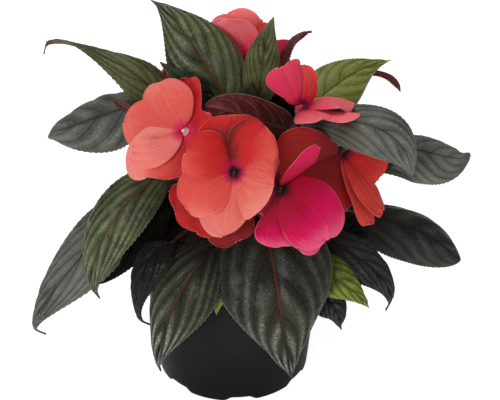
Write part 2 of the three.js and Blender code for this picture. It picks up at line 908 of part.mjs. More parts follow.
        face: [0, 0.97, 0.2],
        half: 20,
        widest: 0.5,
        taper: 1.1,
      },
      {
        at: 0.75,
        spine: [[40, 20, 138], [56, 30, 140], [72, 38, 134], [84, 42, 114]],
        face: [0.3, 0.3, 0.9],
        half: 14,
        rows: 4,
        tooth: 0,
      },
      {
        at: 0.5,
        spine: [[34, 14, 124], [52, 20, 120], [68, 25, 106], [78, 28, 80]],
        face: [0.6, 0.2, 0.75],
        half: 15,
        rows: 4,
        tooth: 0,
      },
    ],
  },
  {
    name: "stem_right_low",
    radius: 3.2,
    path: [[16, -8, 90], [17, -8, 96], [30, -14, 108], [43, -21, 124]],
    leaves: [
      {
        at: 0.9,
        spine: [[70, 4, 110], [99, 5, 101], [121, 3, 93], [144, 0, 75]],
        face: [0.1, -0.4, 0.92],
        half: 23.5,
        rows: 6,
        arch: 72,
        widest: 0.46,
        taper: 1.15,
      },
      {
        at: 0.85,
        spine: [[52, -25, 114], [75, -38, 104], [91, -45, 92], [96, -46, 72]],
        face: [0.3, -0.5, 0.8],
        half: 15.5,
        widest: 0.32,
        taper: 2,
      },
      {
        at: 0.78,
        spine: [[46, -45, 106], [61, -54, 100], [73, -60, 93], [82, -62, 83]],
        face: [0.2, -0.6, 0.7],
        half: 14,
        widest: 0.25,
        taper: 2,
      },
      {
        at: 0.65,
        spine: [[50, -50, 97], [58, -58, 86], [63, -62, 80], [65, -63, 68]],
        face: [0.3, -0.7, 0.6],
        half: 11,
        columns: 2,
        widest: 0.38,
        taper: 1.7,
      },
      {
        at: 0.97,
        spine: [[48, -18, 113], [60, -20, 112], [71, -17, 108], [84, -10, 102]],
        face: [0.1, -0.6, 0.8],
        half: 19,
      },
    ],
  },
  {
    name: "stem_back_left",
    radius: 3.2,
    path: [[-8, 22, 90], [-8, 23, 98], [-14, 36, 125], [-18, 46, 148]],
    leaves: [
      {
        at: 0.96,
        spine: [[-26, 52, 148], [-44, 76, 150], [-60, 100, 138], [-68, 118, 112]],
        face: [-0.2, 0.3, 0.9],
        half: 20,
      },
      {
        at: 0.92,
        spine: [[-16, 56, 138], [-14, 82, 134], [-12, 108, 120], [-10, 126, 92]],
        face: [0, 0.3, 0.9],
        half: 20,
      },
      {
        at: 0.7,
        spine: [[-30, 48, 124], [-52, 68, 114], [-64, 84, 86], [-66, 90, 52]],
        face: [-0.5, 0.5, 0.7],
        half: 19,
      },
      {
        at: 0.45,
        spine: [[-22, 36, 112], [-44, 44, 108], [-60, 50, 92], [-68, 54, 64]],
        face: [-0.6, 0.3, 0.7],
        half: 15,
        rows: 4,
        tooth: 0,
      },
    ],
  },
  {
    name: "stem_back_right",
    radius: 3.2,
    path: [[10, 21, 90], [10, 22, 98], [20, 36, 122], [28, 46, 144]],
    leaves: [
      {
        at: 0.96,
        spine: [[38, 50, 146], [64, 66, 146], [88, 84, 132], [104, 94, 106]],
        face: [0.3, 0.3, 0.9],
        half: 20,
      },
      {
        at: 0.92,
        spine: [[30, 56, 134], [38, 82, 130], [44, 106, 114], [48, 122, 86]],
        face: [0.1, 0.3, 0.9],
        half: 20,
      },
      {
        at: 0.7,
        spine: [[42, 48, 122], [62, 64, 110], [74, 78, 82], [76, 84, 48]],
        face: [0.5, 0.5, 0.7],
        half: 19,
      },
      {
        at: 0.45,
        spine: [[28, 34, 112], [52, 42, 106], [70, 47, 90], [82, 50, 62]],
        face: [0.6, 0.3, 0.7],
        half: 15,
        rows: 4,
        tooth: 0,
      },
    ],
  },
];

const group = new THREE.Group();
group.add(namedMesh("pot", potGeometry(), COLOURS.pot));
group.add(namedMesh("soil", soilGeometry(STEMS), COLOURS.soil));
for (const stem of STEMS) {
  group.add(namedMesh(stem.name, toGeometry(leafyStem(stem)), COLOURS.foliage));
}
for (const bloom of BLOOMS) {
  group.add(namedMesh(bloom.name, toGeometry(bloomSolid(bloom)), bloom.look));
}

export default group;
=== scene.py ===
"""Looks of the potted New Guinea impatiens: fine leaves, petals, stems, pot and soil.

Lengths are millimetres in the model's frame: +Z up, the front faces -Y and the origin is the
centre of the pot's base. Blender objects are in metres.
"""

import math

import bpy
import numpy as np
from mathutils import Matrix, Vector


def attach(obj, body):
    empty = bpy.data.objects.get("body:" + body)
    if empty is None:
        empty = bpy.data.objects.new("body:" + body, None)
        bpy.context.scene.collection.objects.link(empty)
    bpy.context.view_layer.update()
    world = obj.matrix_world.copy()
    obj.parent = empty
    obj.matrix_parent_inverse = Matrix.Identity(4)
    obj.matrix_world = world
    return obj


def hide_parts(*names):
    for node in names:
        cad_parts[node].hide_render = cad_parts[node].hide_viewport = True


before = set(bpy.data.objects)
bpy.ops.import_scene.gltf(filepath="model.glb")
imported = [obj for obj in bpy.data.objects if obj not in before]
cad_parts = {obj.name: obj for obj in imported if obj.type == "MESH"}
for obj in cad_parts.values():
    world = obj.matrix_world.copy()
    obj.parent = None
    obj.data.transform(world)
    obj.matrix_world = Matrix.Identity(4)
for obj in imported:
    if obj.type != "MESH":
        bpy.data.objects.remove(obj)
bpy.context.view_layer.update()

MM = 0.001

# Camera, which matches the photograph's view
AIM = (10.9, 0, 120)
CAMERA_DISTANCE = 1000
CAMERA_ELEVATION = 32
CAMERA_LENS = 116.6
SENSOR_WIDTH = 36

# Studio, in metres: each lamp's name, place, size and watts
LAMPS = [
    ("overhead", (-0.2, 0.45, 1.4), 1, 9),
    ("key", (-0.6, -1.5, 0.85), 0.8, 16),
    ("fill", (1.3, -0.7, 0.9), 1, 3),
]
LAMPS_AIM = (0, 0, 0.12)
WORLD_STRENGTH = 0.18
FLOOR_SIZE = 60

# Pot
BASE_RADIUS = 48
WALL_TOP_RADIUS = 57
LIP_RADIUS = 60
LIP_BOTTOM = 90
POT_HEIGHT = 100
WALL = 1.5
FLOOR_LIFT = 4
FOOT_INNER_RADIUS = 41.5
CENTRE_DISC_RADIUS = 26
DRAIN_COUNT = 7
DRAIN_RADIUS = 4
DRAIN_CIRCLE_RADIUS = 34.5
DRAIN_SEGMENTS = 32
NOTCH_HEIGHT = 3.2
NOTCH_HALF_DEGREES = 13
NOTCH_SLOPE_DEGREES = 6
FRONT_NOTCH_DEGREES = -84
POT_SEGMENTS = 280

# Soil
SOIL_TOP = 86
SOIL_MOUND = 3
SOIL_MOUND_RADII = (10, 53.5)
SOIL_LUMPY_MARGIN = 3
SOIL_GAP = 0.6
SOIL_LIFT = 0.3
SOIL_SHOULDER = 4
SOIL_RINGS = 60
SOIL_SEGMENTS = 180
# Waves of the soil's surface: a height, then two waves' rates along x and y and their starts
SOIL_WAVES = [
    (0.9, (0.31, 0, 1.3), (0, 0.27, -0.4)),
    (0.5, (1.7, 0.9, 0), (-1.1, 1.3, 0)),
    (0.3, (4.1, -2.3, 0), (1.9, 3.7, 0)),
]
CRUMB_COUNT = 420
CRUMB_SEED = 7
CRUMB_SIZES = (0.5, 1.5)
CRUMB_STRETCHES = (0.6, 1.25)
CRUMB_LUMPS = (0.8, 1.2)
CRUMB_LIFT = 0.15
CRUMB_MARGIN = 3
CRUMB_RINGS = 5
CRUMB_SIDES = 8
PERLITE_EVERY = 9

# Stems and stalks: at each joint, a stem gains a swell as a share of its radius
STEM_RADIUS = 3.2
THICK_STEM_RADIUS = 3.4
THICK_STEMS = ("stem_centre", "stem_front")
STEM_FOOT_DEPTHS = (14, 6)
STEM_TAPER = (1.02, 0.8)
STEM_STEPS = 10
STEM_JOINTS = 4.2
JOINT_SWELL = 0.16
JOINT_SPREAD = 0.12
STEM_SIDES = 20
STALK_SIDES = 12
PETIOLE_RADIUS = 1.5
PETIOLE_TAPER = (1.15, 0.55)
PETIOLE_RISE = 2
PETIOLE_REACH = 0.1
PETIOLE_STEPS = 6
PEDICEL_RADIUS = 1.2
PEDICEL_TAPER = (1.1, 0.85)
PEDICEL_SWAY = (0, 0, 3)
PEDICEL_END_LENGTH = 6
PEDICEL_STEPS = 8
PEDICEL_OVERLAP = 0.5
PEDICEL_MIDDLE = 0.55
KNOB_LENGTH = 8
KNOB_NECK_RADIUS = 1.2
KNOB_SWELL = 1.4
KNOB_SIDES = 18
CALYX_DEPTH = 2.6
COLUMN_LENGTH = 3.2
COLUMN_LEAN = 0.5
COLUMN_TIP_RADIUS = 0.3
COLUMN_SWELL = 0.8
COLUMN_SIDES = 14
THROAT_RADIUS = 3.3
THROAT_SHARE = 0.18
THROAT_SPREAD = 0.16
HEART_STEPS = 15
TUBE_SEAM = (0.3, 1, 0.2)

# Blades: along one, t goes from 0 at its base to 1 at its tip, and across it, u from -1 to 1
BLADE_START = 0.004
BLADE_END = 0.9985
MARGIN_COLUMN = 0.975
NOTCH_SPREAD = 0.35
NOTCH_START = 0.6
HOOK_START = 0.93
WAVE_LAG = 2
MARGIN_LINE = (0.965, 0.99)

# Leaves
LEAF_THICKNESS = 0.5
LEAF_COLUMNS = 24
MARGIN_THINNING = 0.4
TEETH = 28
ROWS_A_TOOTH = 5
TOOTH_REACH = 0.7
TOOTH_START = 0.9
VEIN_LEAN = 0.22
VEIN_STAGGER = 0.35
VEIN_WANDER = 0.12
VEIN_LIMIT = 8
QUILT_HEIGHT = 1.5
MIDRIB_DEPTH = 0.8
MIDRIB_SPREAD = 0.09
MIDRIB_THICKNESS = 0.9
MIDRIB_BACK_SPREAD = 0.06
FULL_RELIEF_HALF = 18
# The relief sets in and dies out between these t, and between these distances from the midrib
RELIEF_START = (0.02, 0.12)
RELIEF_END = (0.88, 0.99)
PILLOW_START = (0.02, 0.2)
PILLOW_END = (0.82, 1)
# Painted shade: how strongly a leaf's painted_base_shade darkens its base
PAINTED_SHADE_STRENGTH = 1.6

# Petals
PETAL_THICKNESS = 0.4
PETAL_ROWS = 34
PETAL_COLUMNS = 30
PETAL_RING_RADIUS = 1.4
PETAL_ROOT_DEPTH = 1.5
PETAL_PHASE_STEP = 1.9
EYE_REACH = 20
CREASE_DEPTH = 0.35
CREASE_SPREAD = 0.12
FAN_HEIGHT = 0.02
FAN_LINES = 30
FRILL_HEIGHT = 0.45
FINE_FRILL_HEIGHT = 0.35
# Turn round the eye in degrees, length and half width of an open bloom's petals
OPEN_PETALS = [(90, 0.95, 0.62), (152, 0.92, 0.5), (28, 0.92, 0.5), (232, 1.05, 0.58), (308, 1.05, 0.58)]

# What a leaf has unless it says otherwise. widest is the t of its widest place, and a higher taper
# narrows its ends; fold and arch are degrees across it; its margins sway by wave, waves times
# along it; notch is cut into the tip, and hook moves the tip. painted_base_shade is painted shade
# over its base, less by fade towards the tip and more on one side than the other by tilt; quilt
# scales the pillows between its veins, and sweep curves the veins up along the margin.
LEAF = dict(
    widest=0.34, taper=1.65, fold=8, arch=45, wave=1.2, waves=1.7, phase=0, notch=0, hook=(0, 0, 0),
    fade=1.2, tilt=0, quilt=1, veins=5, sweep=0.5,
)
# The same of a petal. It swells forward by bow and sideways by bend. Its tone_and_painted_light,
# its own tone with painted light and shade, changes by rise from its base to its tip and by lean
# from its middle to a margin, lighter or darker on one side.
PETAL = dict(
    widest=0.64, taper=1.2, fold=0, arch=20, wave=1.5, waves=0.8, notch=0.07, hook=(0, 0, 0),
    bow=3, bend=0, rise=0, lean=0,
)


def leaf_at(share, spine, face, half, look, painted_base_shade=0, **more):
    """A leaf that starts at a share of its stem's length. Its middle line runs through the four
    points of its spine, its upper side faces the way given, and half is half its width."""
    return {
        **LEAF, "at": share, "spine": spine, "face": face, "half": half, "look": look, "painted_base_shade": painted_base_shade,
        **more,
    }


def petal_to(tip, half, tone_and_painted_light, **more):
    """A petal that ends at its tip, half as wide as given. Its tone_and_painted_light, 0 for dark and
    1 for pale, is partly its own tone and partly painted light and shade.
    """
    return {**PETAL, "tip": tip, "half": half, "tone_and_painted_light": tone_and_painted_light, **more}


# The path of each stem starts at the soil
STEMS = {
    "stem_centre": [(0, 7, 90), (1, 7, 100), (4, 9, 140), (3, 9, 175), (3, 9, 186)],
    "stem_left": [(-14, 8, 90), (-15, 8, 100), (-26, 9, 130), (-39, 10, 162), (-43, 11, 174)],
    "stem_left_low": [(-15, -9, 90), (-16, -10, 98), (-20, -17, 120), (-28, -25, 148), (-30, -27, 156)],
    "stem_front": [(2, -17, 90), (2, -18, 98), (3, -26, 116), (4, -35, 137)],
    "stem_right": [(14, 8, 90), (15, 8, 100), (27, 8, 130), (38, 7, 162), (41, 6, 174)],
    "stem_right_low": [(16, -8, 90), (17, -8, 96), (30, -14, 108), (43, -21, 124)],
    "stem_back_left": [(-8, 22, 90), (-8, 23, 98), (-14, 36, 125), (-18, 46, 148)],
    "stem_back_right": [(10, 21, 90), (10, 22, 98), (20, 36, 122), (28, 46, 144)],
}

LEAVES = {
    "stem_centre": [
        leaf_at(0.97, [(-1, 6, 176), (-14, 16, 202), (-29, 28, 222), (-47, 40, 236)], (0.1, -0.8, 0.6),
                23.5, "sheen", 0.15, widest=0.33, taper=2, fold=12, tilt=-0.35, hook=(-2, 0, 1)),
        leaf_at(0.92, [(-10, 6, 188), (-22, 4, 196), (-32, 5, 203), (-42, 7, 212)], (0.2, -0.6, 0.75),
                8, "deep", 0.5),
        leaf_at(0.96, [(15, 11, 180), (18, 12, 204), (20, 12, 221), (25, 13, 238)], (0, -1, 0),
                11, "olive", 0.3, widest=0.3, taper=1.4, fold=18, quilt=0.5),
        leaf_at(0.95, [(22, 15, 188), (29, 18, 206), (36, 24, 217), (48, 30, 221)], (-0.9, -0.1, 0.45),
                8.5, "wine", widest=0.38),
        leaf_at(0.98, [(8, 6, 184), (9, 6, 189), (10, 6, 193), (11, 7, 198)], (0, -0.9, 0.4),
                6, "deep", 0.3),
        leaf_at(0.86, [(12, 46, 170), (12, 58, 170), (12, 72, 162), (12, 86, 144)], (0, 0.3, 0.95),
                14, "deep", 0.2),
        leaf_at(0.75, [(12, 16, 150), (22, 22, 162), (34, 28, 172), (46, 32, 176)], (0, -0.85, 0.5),
                15, "inner", 1),
        leaf_at(0.6, [(6, 22, 142), (8, 42, 142), (10, 60, 132), (10, 74, 110)], (0, 0.4, 0.9),
                12, "inner", 0.6),
    ],
    "stem_left": [
        leaf_at(0.97, [(-46, 18, 181), (-63, 14, 204), (-94, 10, 222), (-109, 5, 221)], (0.3, -0.9, 0.5),
                14, "olive", 0.25, face_tip=(0.1, 0.9, 0.7), widest=0.18, taper=2.8, hook=(-1, 0, -3),
                sweep=0.45),
        leaf_at(0.94, [(-55, 10, 175), (-61, 8, 181), (-85, 5, 174), (-111, 0, 167)], (0, -0.4, 0.92),
                24, "grey", 0.1, widest=0.57, taper=2.4, arch=68, hook=(0, 0, -2), sweep=0.2, quilt=0.8),
        leaf_at(0.96, [(-46, 2, 178), (-54, 1, 181), (-63, 0, 186), (-71, 0, 191)], (0.3, 0.8, 0.5),
                6, "wine"),
        leaf_at(0.75, [(-44, 24, 150), (-60, 38, 154), (-76, 52, 148), (-88, 60, 130)], (-0.3, 0.3, 0.9),
                15, "grey", 0.3),
        leaf_at(0.5, [(-33, 16, 124), (-48, 22, 119), (-62, 27, 104), (-70, 30, 78)], (-0.6, 0.2, 0.75),
                14, "inner", 0.6),
    ],
    "stem_left_low": [
        leaf_at(0.97, [(-32, -30, 159), (-62, -50, 148), (-80, -57, 116), (-81, -49, 82)],
                (-0.25, -0.65, 0.65), 18, "sheen", 0.25, widest=0.37, taper=2.3, tilt=-0.35,
                hook=(1, 0, -2), sweep=0.65),
        leaf_at(0.88, [(-40, -24, 144), (-55, -29, 122), (-70, -32, 98), (-83, -31, 78)], (-0.3, -0.7, 0.6),
                15, "inner", 1),
        leaf_at(0.8, [(-63, -18, 127), (-88, -26, 101), (-115, -25, 63), (-125, -20, 33)], (-0.4, -0.7, 0.6),
                21, "grey", 0.1, widest=0.3, taper=2.4, hook=(6, -1, -1), sweep=0.65),
        leaf_at(0.4, [(-36, -44, 117), (-48, -55, 114), (-56, -61, 93), (-53, -59, 68)], (-0.6, -0.5, 0.6),
                14, "dark", 1, widest=0.3, taper=2, hook=(4, -1, 0)),
    ],
    "stem_front": [
        leaf_at(0.85, [(-2, -42, 120), (-24, -68, 110), (-39, -74, 78), (-45, -70, 42)], (-0.3, -0.75, 0.6),
                22, "gloss", 0.6, widest=0.4, taper=2.6, fade=1.4, hook=(1.5, 0, -1), veins=4.5, sweep=0.6),
        leaf_at(0.97, [(19, -48, 137), (27, -77, 106), (31, -85, 80), (36, -82, 45)], (0.05, -0.7, 0.7),
                37, "gloss", 0.5, widest=0.2, taper=1.35, fade=1.3, veins=4, sweep=0.6),
        leaf_at(0.5, [(2, -54, 122), (-3, -66, 109), (-7, -71, 98), (-9, -72, 85)], (0, -0.7, 0.7),
                7, "bright", 0.5),
    ],
    "stem_right": [
        leaf_at(0.96, [(48, 15, 178), (63, 28, 185), (79, 39, 190), (98, 46, 193)], (-0.1, -0.7, 0.7),
                17.5, "yellow", 0.15, taper=2.6, sweep=0.3, quilt=0.7),
        leaf_at(0.92, [(64, 50, 174), (78, 52, 182), (96, 51, 180), (105, 48, 170)], (0.1, 0.1, 1),
                5, "wine", widest=0.5),
        leaf_at(0.97, [(42, -5, 174), (65, -13, 183), (91, -26, 182), (107, -31, 156)], (0.1, -0.55, 0.8),
                18, "grey", 0.4, widest=0.56, taper=2.2, quilt=0.4),
        leaf_at(0.85, [(80, 5, 142), (106, 5, 153), (124, 5, 150), (144, 5, 147)], (0, -0.36, 0.93),
                22, "grey", 0.5, widest=0.52, taper=1.2, arch=74, hook=(1.5, 0, 3), quilt=0.8),
        leaf_at(0.94, [(33, -3, 172), (18, -12, 183), (3, -18, 192), (-15, -19, 197)], (0, 0.97, 0.2),
                20, "wine", 0.15, widest=0.5, taper=1.1),
        leaf_at(0.75, [(40, 20, 138), (56, 30, 140), (72, 38, 134), (84, 42, 114)], (0.3, 0.3, 0.9),
                14, "grey", 0.3),
        leaf_at(0.5, [(34, 14, 124), (52, 20, 120), (68, 25, 106), (78, 28, 80)], (0.6, 0.2, 0.75),
                15, "inner", 0.6),
    ],
    "stem_right_low": [
        leaf_at(0.9, [(70, 4, 110), (99, 5, 101), (121, 3, 93), (144, 0, 75)], (0.1, -0.4, 0.92),
                23.5, "dark", 0.5, widest=0.5, taper=1, arch=72, quilt=0.4, veins=4),
        leaf_at(0.85, [(52, -25, 114), (75, -38, 104), (91, -45, 92), (96, -46, 72)], (0.3, -0.5, 0.8),
                15.5, "dark", 0.4, widest=0.32, taper=2, hook=(-2, 0, -3)),
        leaf_at(0.78, [(46, -45, 106), (61, -54, 100), (73, -60, 93), (82, -62, 83)], (0.2, -0.6, 0.7),
                14, "bright", 0.35, widest=0.25, taper=2, sweep=0.3),
        leaf_at(0.65, [(50, -50, 97), (58, -58, 86), (63, -62, 80), (65, -63, 68)], (0.3, -0.7, 0.6),
                11, "dark", 0.3, widest=0.38, taper=1.7, hook=(1, 0, -1)),
        leaf_at(0.97, [(48, -18, 113), (60, -20, 112), (71, -17, 108), (84, -10, 102)], (0.1, -0.6, 0.8),
                19, "inner", 1),
    ],
    "stem_back_left": [
        leaf_at(0.96, [(-26, 52, 148), (-44, 76, 150), (-60, 100, 138), (-68, 118, 112)], (-0.2, 0.3, 0.9),
                20, "sheen", 0.2),
        leaf_at(0.92, [(-16, 56, 138), (-14, 82, 134), (-12, 108, 120), (-10, 126, 92)], (0, 0.3, 0.9),
                20, "gloss", 0.3),
        leaf_at(0.7, [(-30, 48, 124), (-52, 68, 114), (-64, 84, 86), (-66, 90, 52)], (-0.5, 0.5, 0.7),
                19, "deep", 0.4),
        leaf_at(0.45, [(-22, 36, 112), (-44, 44, 108), (-60, 50, 92), (-68, 54, 64)], (-0.6, 0.3, 0.7),
                15, "deep", 0.7),
    ],
    "stem_back_right": [
        leaf_at(0.96, [(38, 50, 146), (64, 66, 146), (88, 84, 132), (104, 94, 106)], (0.3, 0.3, 0.9),
                20, "sheen", 0.2),
        leaf_at(0.92, [(30, 56, 134), (38, 82, 130), (44, 106, 114), (48, 122, 86)], (0.1, 0.3, 0.9),
                20, "gloss", 0.3),
        leaf_at(0.7, [(42, 48, 122), (62, 64, 110), (74, 78, 82), (76, 84, 48)], (0.5, 0.5, 0.7),
                19, "deep", 0.4),
        leaf_at(0.45, [(28, 34, 112), (52, 42, 106), (70, 47, 90), (82, 50, 62)], (0.6, 0.3, 0.7),
                15, "deep", 0.7),
    ],
}

BLOOMS = [
    dict(name="bloom_front", stem="stem_front", at=0.96, sway=(8, 0, 4), look="coral", slot="petal_coral",
         eye=(2, -58, 175), facing=(0, -0.85, 0.53)),
    dict(name="bloom_left", stem="stem_left", at=0.96, look="salmon", slot="petal_coral",
         eye=(-28, -36, 189), facing=(-0.5, -0.74, 0.45), column="pale"),
    dict(name="bloom_front_low", stem="stem_left_low", at=0.96, look="red", slot="petal_red",
         eye=(-11, -45, 151), facing=(-0.1, -0.85, 0.5)),
    dict(name="bloom_right_front", stem="stem_right_low", at=0.97, look="magenta", slot="petal_magenta",
         eye=(29, -58, 164), facing=(0.46, -0.81, 0.36)),
    dict(name="bloom_right", stem="stem_right_low", at=0.9, look="red", slot="petal_red",
         eye=(67, -16, 164), facing=(0.8, -0.5, 0.3)),
    dict(name="bloom_right_high", stem="stem_right", at=0.96, look="pink", slot="petal_magenta",
         eye=(41, -20, 197), facing=(0.3, -0.3, 0.9), column="pink"),
    dict(name="bloom_top", stem="stem_back_left", at=0.96, look="rose", slot="petal_magenta",
         eye=(9, 43, 193), facing=(0, 0.3, 0.95)),
    dict(name="bloom_back_left", stem="stem_back_left", at=0.9, look="coral", slot="petal_coral",
         eye=(-26, 76, 171), facing=(-0.3, 0.75, 0.6), size=27),
    dict(name="bloom_back_right", stem="stem_back_right", at=0.95, look="coral", slot="petal_coral",
         eye=(44, 75, 163), facing=(0.45, 0.7, 0.55), size=25),
]

PETALS = {
    "bloom_front": [
        petal_to((1, -40, 205), 22, 0.04, bow=1, widest=0.5, taper=1.3, rise=0.9),
        petal_to((-27, -54, 187), 17.5, 0.4, bow=4, widest=0.54, taper=1.1, rise=0.3, lean=-0.2),
        petal_to((22, -51, 202), 15.5, 0.36, bow=4, bend=-1, widest=0.54, taper=1.3, rise=0.25, lean=0.32),
        petal_to((26, -66, 171), 24, 0.76, bow=5, widest=0.52, taper=1.3, rise=0.2, lean=0.2),
        petal_to((-4, -77, 141), 15, 0.85, bow=2, bend=3, widest=0.5, taper=1.3, rise=0.15),
        petal_to((-28, -69, 156), 16, 0.64, bow=5, bend=1.5, widest=0.5, taper=1.1, rise=0.25, lean=-0.15),
    ],
    "bloom_left": [
        petal_to((-42, -14, 212), 17.5, 0.72, bow=2, bend=-2.5, widest=0.5, taper=0.8, rise=0.25),
        petal_to((-65, -16, 185), 17.5, 0.7, bow=2, bend=-1.5, widest=0.5, taper=1.25, rise=0.2),
        petal_to((-47, -51, 165), 20, 0.75, face_tip=(-0.3, -0.82, 0.45), bow=1, bend=5, taper=0.8,
                 notch=0.05, rise=0.1, lean=0.35),
        petal_to((-59, -44, 182), 9, 0.88, bow=5, bend=-7, widest=0.6, taper=1, rise=0.1),
        petal_to((-16, -27, 199), 13, 0.3, bow=0, widest=0.5, taper=0.45, rise=0.2),
        petal_to((-25, -5, 210), 10, 0.32, bow=0, widest=0.45, taper=0.7, rise=0.2),
        petal_to((-27, -46, 173), 17, 0.3, bow=0, widest=0.4, taper=0.45, rise=0.2),
    ],
    "bloom_front_low": [
        petal_to((-35, -52, 146), 14, 0.55, bow=2, rise=0.3),
        petal_to((-22, -58, 133), 14, 0.55, bow=2, rise=0.3),
        petal_to((5, -62, 128), 15, 0.25, bow=2, rise=0.3),
        petal_to((13, -55, 140), 12, 0.25, bow=1, rise=0.3),
        petal_to((-14, -36, 166), 12, 0.25, bow=1),
    ],
    "bloom_right_front": [
        petal_to((56, -66, 129), 20.5, 0.58, bow=6, bend=-3.5, widest=0.5, taper=0.75, notch=0.1, rise=0.8),
        petal_to((34, -72, 129), 24, 0.45, bow=1, bend=-4, widest=0.7, taper=0.7, notch=0.1, rise=1),
        petal_to((51, -54, 190), 13, 0.46, face=(0.75, -0.55, -0.2), taper=0.8, rise=0.3),
        petal_to((20, -58, 178), 10, 0.15, face=(0.8, -0.5, 0.1), bow=0),
        petal_to((17, -68, 152), 10, 0.2, face=(0.8, -0.5, 0.1), bow=0),
    ],
    "bloom_right": [
        petal_to((88, -18, 143), 16, 0.72, face=(0.35, -0.85, 0.3), bow=2, widest=0.62, taper=1, rise=0.2),
        petal_to((92, -24, 125), 9.5, 0.85, bend=3, widest=0.6, rise=0.2),
        petal_to((83, -33, 119), 11, 0.9, bow=1, bend=-3, widest=0.5, taper=1.1, rise=0.1),
        petal_to((53, -38, 139), 21, 0.45, face=(0.2, -0.95, 0.1), bow=0, widest=0.55, taper=0.8, rise=0.8),
        petal_to((25, -39, 169), 21, 0.46, face=(0.2, -0.95, 0), bow=0, widest=0.74, taper=0.9, rise=0.4),
    ],
    "bloom_right_high": [
        petal_to((29, -25, 226), 12, 0.66, face=(0.2, -0.8, 0.5), bow=0, widest=0.76, taper=1.6, notch=0.03,
                 rise=0.2),
        petal_to((42, -13, 222), 11.5, 0.5, face=(0.4, -0.8, 0.3), bow=0, widest=0.35, taper=1,
                 look="coral", rise=0.2),
        petal_to((74, -14, 192), 18, 0.88, face=(0, 0.3, 0.95), bend=-5, widest=0.5, rise=0.3),
        petal_to((74, -28, 197), 9, 0.88, face=(0.1, 0.25, 0.96), bow=1, bend=4, taper=0.8, rise=0.4),
        petal_to((54, -38, 198), 15, 0.86, bow=1, rise=0.3),
    ],
    "bloom_top": [
        petal_to((-4, 35, 229), 17, 0.82, face=(0, 1, 0.2), bow=0, bend=2, widest=0.56, rise=0.4),
        petal_to((-4, 59, 221), 18, 0.98, face=(0, -1, 0.2), bow=0, widest=0.6, taper=1.3),
        petal_to((-13, 48, 219), 14, 0.75, face=(1, 0, 0.3), bow=0),
        petal_to((19, 52, 218), 12.5, 0.7, face=(-0.8, -0.3, 0.4), bow=0, taper=1.1, look="coral"),
        petal_to((36, 42, 207), 8, 0.4, face=(-0.2, -0.4, 0.9), bow=1, look="pink"),
    ],
}


def array(values):
    return np.array(values, float)


def unit(vectors):
    vectors = np.asarray(vectors, float)
    lengths = np.linalg.norm(vectors, axis=-1, keepdims=True)
    return vectors / np.maximum(lengths, 1e-9)


def smoothstep(values, low, high):
    share = np.clip((values - low) / (high - low), 0, 1)
    return share * share * (3 - 2 * share)


def upward(axis):
    """The direction square to the axis that points most upwards."""
    return unit(array((0, 0, 1)) - axis * axis[2])


# Meshes


def new_object(name, data):
    made = bpy.data.objects.new(name, data)
    bpy.context.collection.objects.link(made)
    return made


class Skin:
    """Gathers surfaces in millimetres and makes them one object."""

    def __init__(self):
        self.vertices = []
        self.faces = []
        self.slots = []
        self.places = []
        self.count = 0

    def add(self, vertices, faces, slots=0, place=(0.5, 0.5, 0.5, 1)):
        """place holds four numbers a vertex, which the materials read as a colour."""
        self.vertices.append(vertices)
        self.places.append(np.broadcast_to(place, (len(vertices), 4)))
        self.faces.extend(tuple(int(corner) + self.count for corner in face) for face in faces)
        self.slots.extend(np.broadcast_to(slots, len(faces)).tolist())
        self.count += len(vertices)

    def mesh(self, name):
        mesh = bpy.data.meshes.new(name)
        mesh.from_pydata((np.concatenate(self.vertices) * MM).tolist(), [], self.faces)
        return mesh

    def make(self, name, materials, slot, *nodes):
        mesh = self.mesh(name)
        for material in materials:
            mesh.materials.append(material)
        mesh.polygons.foreach_set("material_index", self.slots)
        mesh.polygons.foreach_set("use_smooth", [True] * len(self.faces))
        colours = mesh.attributes.new("place", "FLOAT_COLOR", "POINT")
        colours.data.foreach_set("color", np.concatenate(self.places).ravel())
        mesh.update()
        piece = new_object(name, mesh)
        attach(piece, "root")
        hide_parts(*nodes)
        return piece


def grid_faces(rows, columns, wrap=False):
    """Quads of a grid of vertices, row by row; wrap joins the last column to the first."""
    faces = []
    for row in range(rows - 1):
        for column in range(columns if wrap else columns - 1):
            right = (column + 1) % columns
            near = row * columns
            far = near + columns
            faces.append((near + column, near + right, far + right, far + column))
    return faces


def ring_faces(rings, sides):
    """Faces of rings of vertices, closed by a point before the first ring and one after the last."""
    faces = [tuple(1 + corner for corner in face) for face in grid_faces(rings, sides, True)]
    last = 1 + rings * sides
    for i in range(sides):
        after = (i + 1) % sides
        faces.append((0, 1 + after, 1 + i))
        faces.append((last, last - sides + i, last - sides + after))
    return faces


# Leaves and petals


def curve_at(spine, t):
    """Places and directions on the cubic curve that passes through four points evenly."""
    a, b, c, d = (array(point) for point in spine)
    first = (-5 * a + 18 * b - 9 * c + 2 * d) / 6
    second = (2 * a - 9 * b + 18 * c - 5 * d) / 6
    t = np.asarray(t, float)[..., None]
    s = 1 - t
    places = s**3 * a + 3 * s * s * t * first + 3 * s * t * t * second + t**3 * d
    along = 3 * s * s * (first - a) + 6 * s * t * (second - first) + 3 * t * t * (d - second)
    return places, unit(along)


def outline(t, widest, taper):
    """Half the width of a blade along its length, 1 at its widest place."""
    rise = (t / widest) ** widest
    fall = ((1 - t) / (1 - widest)) ** (1 - widest)
    return (rise * fall) ** taper


